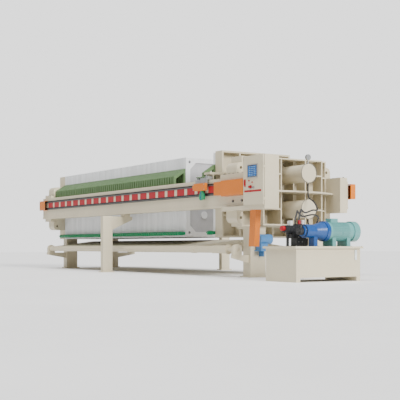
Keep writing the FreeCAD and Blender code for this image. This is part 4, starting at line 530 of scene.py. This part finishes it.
# Bolts round the bell housing's flange, and cooling fins along the motor.
bolts("bell_flange_bolts", ring_points((PUMP_X, -846, PUMP_Z), "y", 138, 8, 0.2), (0, -1, 0), 9, zinc)
bm = bmesh.new()
FINS = 36
for index in range(FINS):
    angle = 2 * math.pi * index / FINS
    if 0.20 < index / FINS < 0.30:
        continue
    made = bmesh.ops.create_cube(bm, size=1)["verts"]
    bmesh.ops.scale(bm, vec=(0.012, 0.34, 0.004), verts=made)
    bmesh.ops.translate(bm, vec=(0.144, 0, 0), verts=made)
    turn = Matrix.Translation(at(PUMP_X, -610, PUMP_Z)) @ Matrix.Rotation(-angle, 4, "Y")
    bmesh.ops.transform(bm, matrix=turn, verts=made)
finish_piece("motor_fins", bm, teal, "base", 0.0008)
bolts("fan_cover_bolts", ring_points((PUMP_X, -243, PUMP_Z), "y", 110, 4, 0.8), (0, 1, 0), 7, zinc)

# Bolts that hold the idler covers, and the tank's lid.
IDLER_FACE = 1205
for tag, sign in (("near", -1), ("far", 1)):
    spots = [(x, sign * IDLER_FACE, z) for x in (-5840, -5590) for z in (1410, 1584)]
    bolts(f"idler_cover_bolts_{tag}", spots, (0, sign, 0), 9, zinc)
low, high = (drawn(corner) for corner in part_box("tank_lid"))
EDGE = 26
rows = [low[1] + EDGE + (high[1] - low[1] - 2 * EDGE) * i / 6 for i in range(7)]
spots = [(x, y, high[2]) for x in (low[0] + EDGE, high[0] - EDGE) for y in rows]
bolts("tank_lid_bolts", spots, (0, 0, 1), 9, zinc)

# Mechanism on each shifter carriage: claw arms, springs and bolts beside the chain.
for tag, sign in (("near", -1), ("far", 1)):
    body = f"shifter_{tag}"
    low_y, high_y = sorted((sign * 1176, sign * 1070))
    claws = [
        ((990, low_y, 1722), (1080, high_y, 1738)),
        ((1140, low_y, 1722), (1215, high_y, 1738)),
        ((1000, low_y + 20, 1690), (1018, high_y - 20, 1722)),
        ((1190, low_y + 20, 1690), (1208, high_y - 20, 1722)),
    ]
    boxes(f"shifter_claws_{tag}", claws, green_handle, body, 0.002)
    springs = [((x, low_y + 12, 1700), (0, 1, 0), 82, 15) for x in (1045, 1110, 1165)]
    rods(f"shifter_springs_{tag}", springs, zinc, body)
    spots = [(x, sign * 1231, z) for x in (985, 1325) for z in (1506, 1596)]
    bolts(f"shifter_bolts_{tag}", spots, (0, sign, 0), 8, zinc, body)
boxes("grip_strap", [((1195, -1219, 1330), (1213, -1216, 1470))], blue, "shifter_near", 0.0006)

# ------------------------------------------------------------------- hoses
def hose(name, points, diameter, body="base"):
    curve = bpy.data.curves.new(name, "CURVE")
    curve.dimensions = "3D"
    curve.bevel_depth = diameter / 2
    curve.bevel_resolution = 5
    curve.resolution_u = 10
    curve.use_fill_caps = True
    spline = curve.splines.new("NURBS")
    spline.points.add(len(points) - 1)
    for knot, place in zip(spline.points, points):
        knot.co = (*place, 1)
    spline.order_u = 3
    spline.use_endpoint_u = True
    curve.materials.append(rubber)
    piece = bpy.data.objects.new(name, curve)
    scene.collection.objects.link(piece)
    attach(piece, body)
    return piece


lean = Vector((-0.33, 0.5, 0.8)).normalized()
mouth_upper = Vector((3640, -1060, 915)) + lean * 60
mouth_lower = Vector((3640, -1125, 915)) + lean * 60
upper_route = [
    (2627.5, 0, 1579), (2627.5, 0, 1495), (2645, -16, 1402), (2718, -65, 1330), (2848, -79, 1273),
    (2927, -89, 1208),
    (3022, -133, 1128), (3116, -229, 1101), (3175, -321, 1103), (3219, -412, 1100), (3266, -514, 1079),
    (3325, -631, 1049), (3388, -743, 1051), (3448, -826, 1083), (3529, -915, 1092),
    tuple(mouth_upper + lean * 84), tuple(mouth_upper),
]
lower_route = [
    (2627.5, 0, 979), (2627.5, 0, 929), (2659, 9, 836), (2727, 15, 783), (2809, -6, 769), (2911, -73, 795),
    (2992, -142, 837), (3060, -194, 881), (3153, -236, 947), (3215, -283, 990), (3250, -370, 1018),
    (3280, -471, 1026),
    (3313, -596, 1008), (3352, -712, 985), (3386, -804, 997), (3430, -887, 1047), (3498, -963, 1070),
    (3560, -1020, 1057),
    tuple(mouth_lower + lean * 50), tuple(mouth_lower),
]
HOSE = 0.026
upper_hose = hose("hose_upper_rubber", [at(*p) for p in upper_route], HOSE)
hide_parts("hose_upper")
lower_hose = hose("hose_lower_rubber", [at(*p) for p in lower_route], HOSE)
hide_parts("hose_lower")


# ---------------------------------------------------------- stage and light
def floor_material():
    m = Mat("floor_pale", 0.62, 0.0, 0.3)
    m.color(m.ramp(m.noise(0.8, 4), [(0.2, (0.86, 0.86, 0.86)), (0.8, (0.92, 0.92, 0.92))]))
    return m.m


bm = bmesh.new()
bmesh.ops.create_grid(bm, x_segments=2, y_segments=2, size=60)
mesh = bpy.data.meshes.new("floor")
bm.to_mesh(mesh)
bm.free()
floor = bpy.data.objects.new("floor", mesh)
mesh.materials.append(floor_material())
scene.collection.objects.link(floor)

world = bpy.data.worlds.new("studio")
scene.world = world
world.use_nodes = True
studio = world.node_tree
studio.nodes["Background"].inputs["Color"].default_value = (1.0, 1.0, 1.0, 1)
# The backdrop that the camera sees is brighter than the light it gives.
seen = studio.nodes.new("ShaderNodeLightPath")
glow = studio.nodes.new("ShaderNodeMapRange")
glow.inputs["To Min"].default_value = 0.48
glow.inputs["To Max"].default_value = 1.9
studio.links.new(seen.outputs["Is Camera Ray"], glow.inputs["Value"])
studio.links.new(glow.outputs["Result"], studio.nodes["Background"].inputs["Strength"])


def sun(name, direction, strength, angle, color=(1, 1, 1)):
    """Soft daylight that shines along a direction."""
    light = bpy.data.lights.new(name, "SUN")
    light.energy = strength
    light.angle = math.radians(angle)
    light.color = color
    lamp = bpy.data.objects.new(name, light)
    scene.collection.objects.link(lamp)
    lamp.rotation_mode = "QUATERNION"
    lamp.rotation_quaternion = Vector(direction).to_track_quat("-Z", "Y")


sun("key", (-1, -0.05, -0.42), 4.4, 22, (1.0, 0.985, 0.96))
sun("top", (-0.12, 0.25, -1), 3.6, 50)
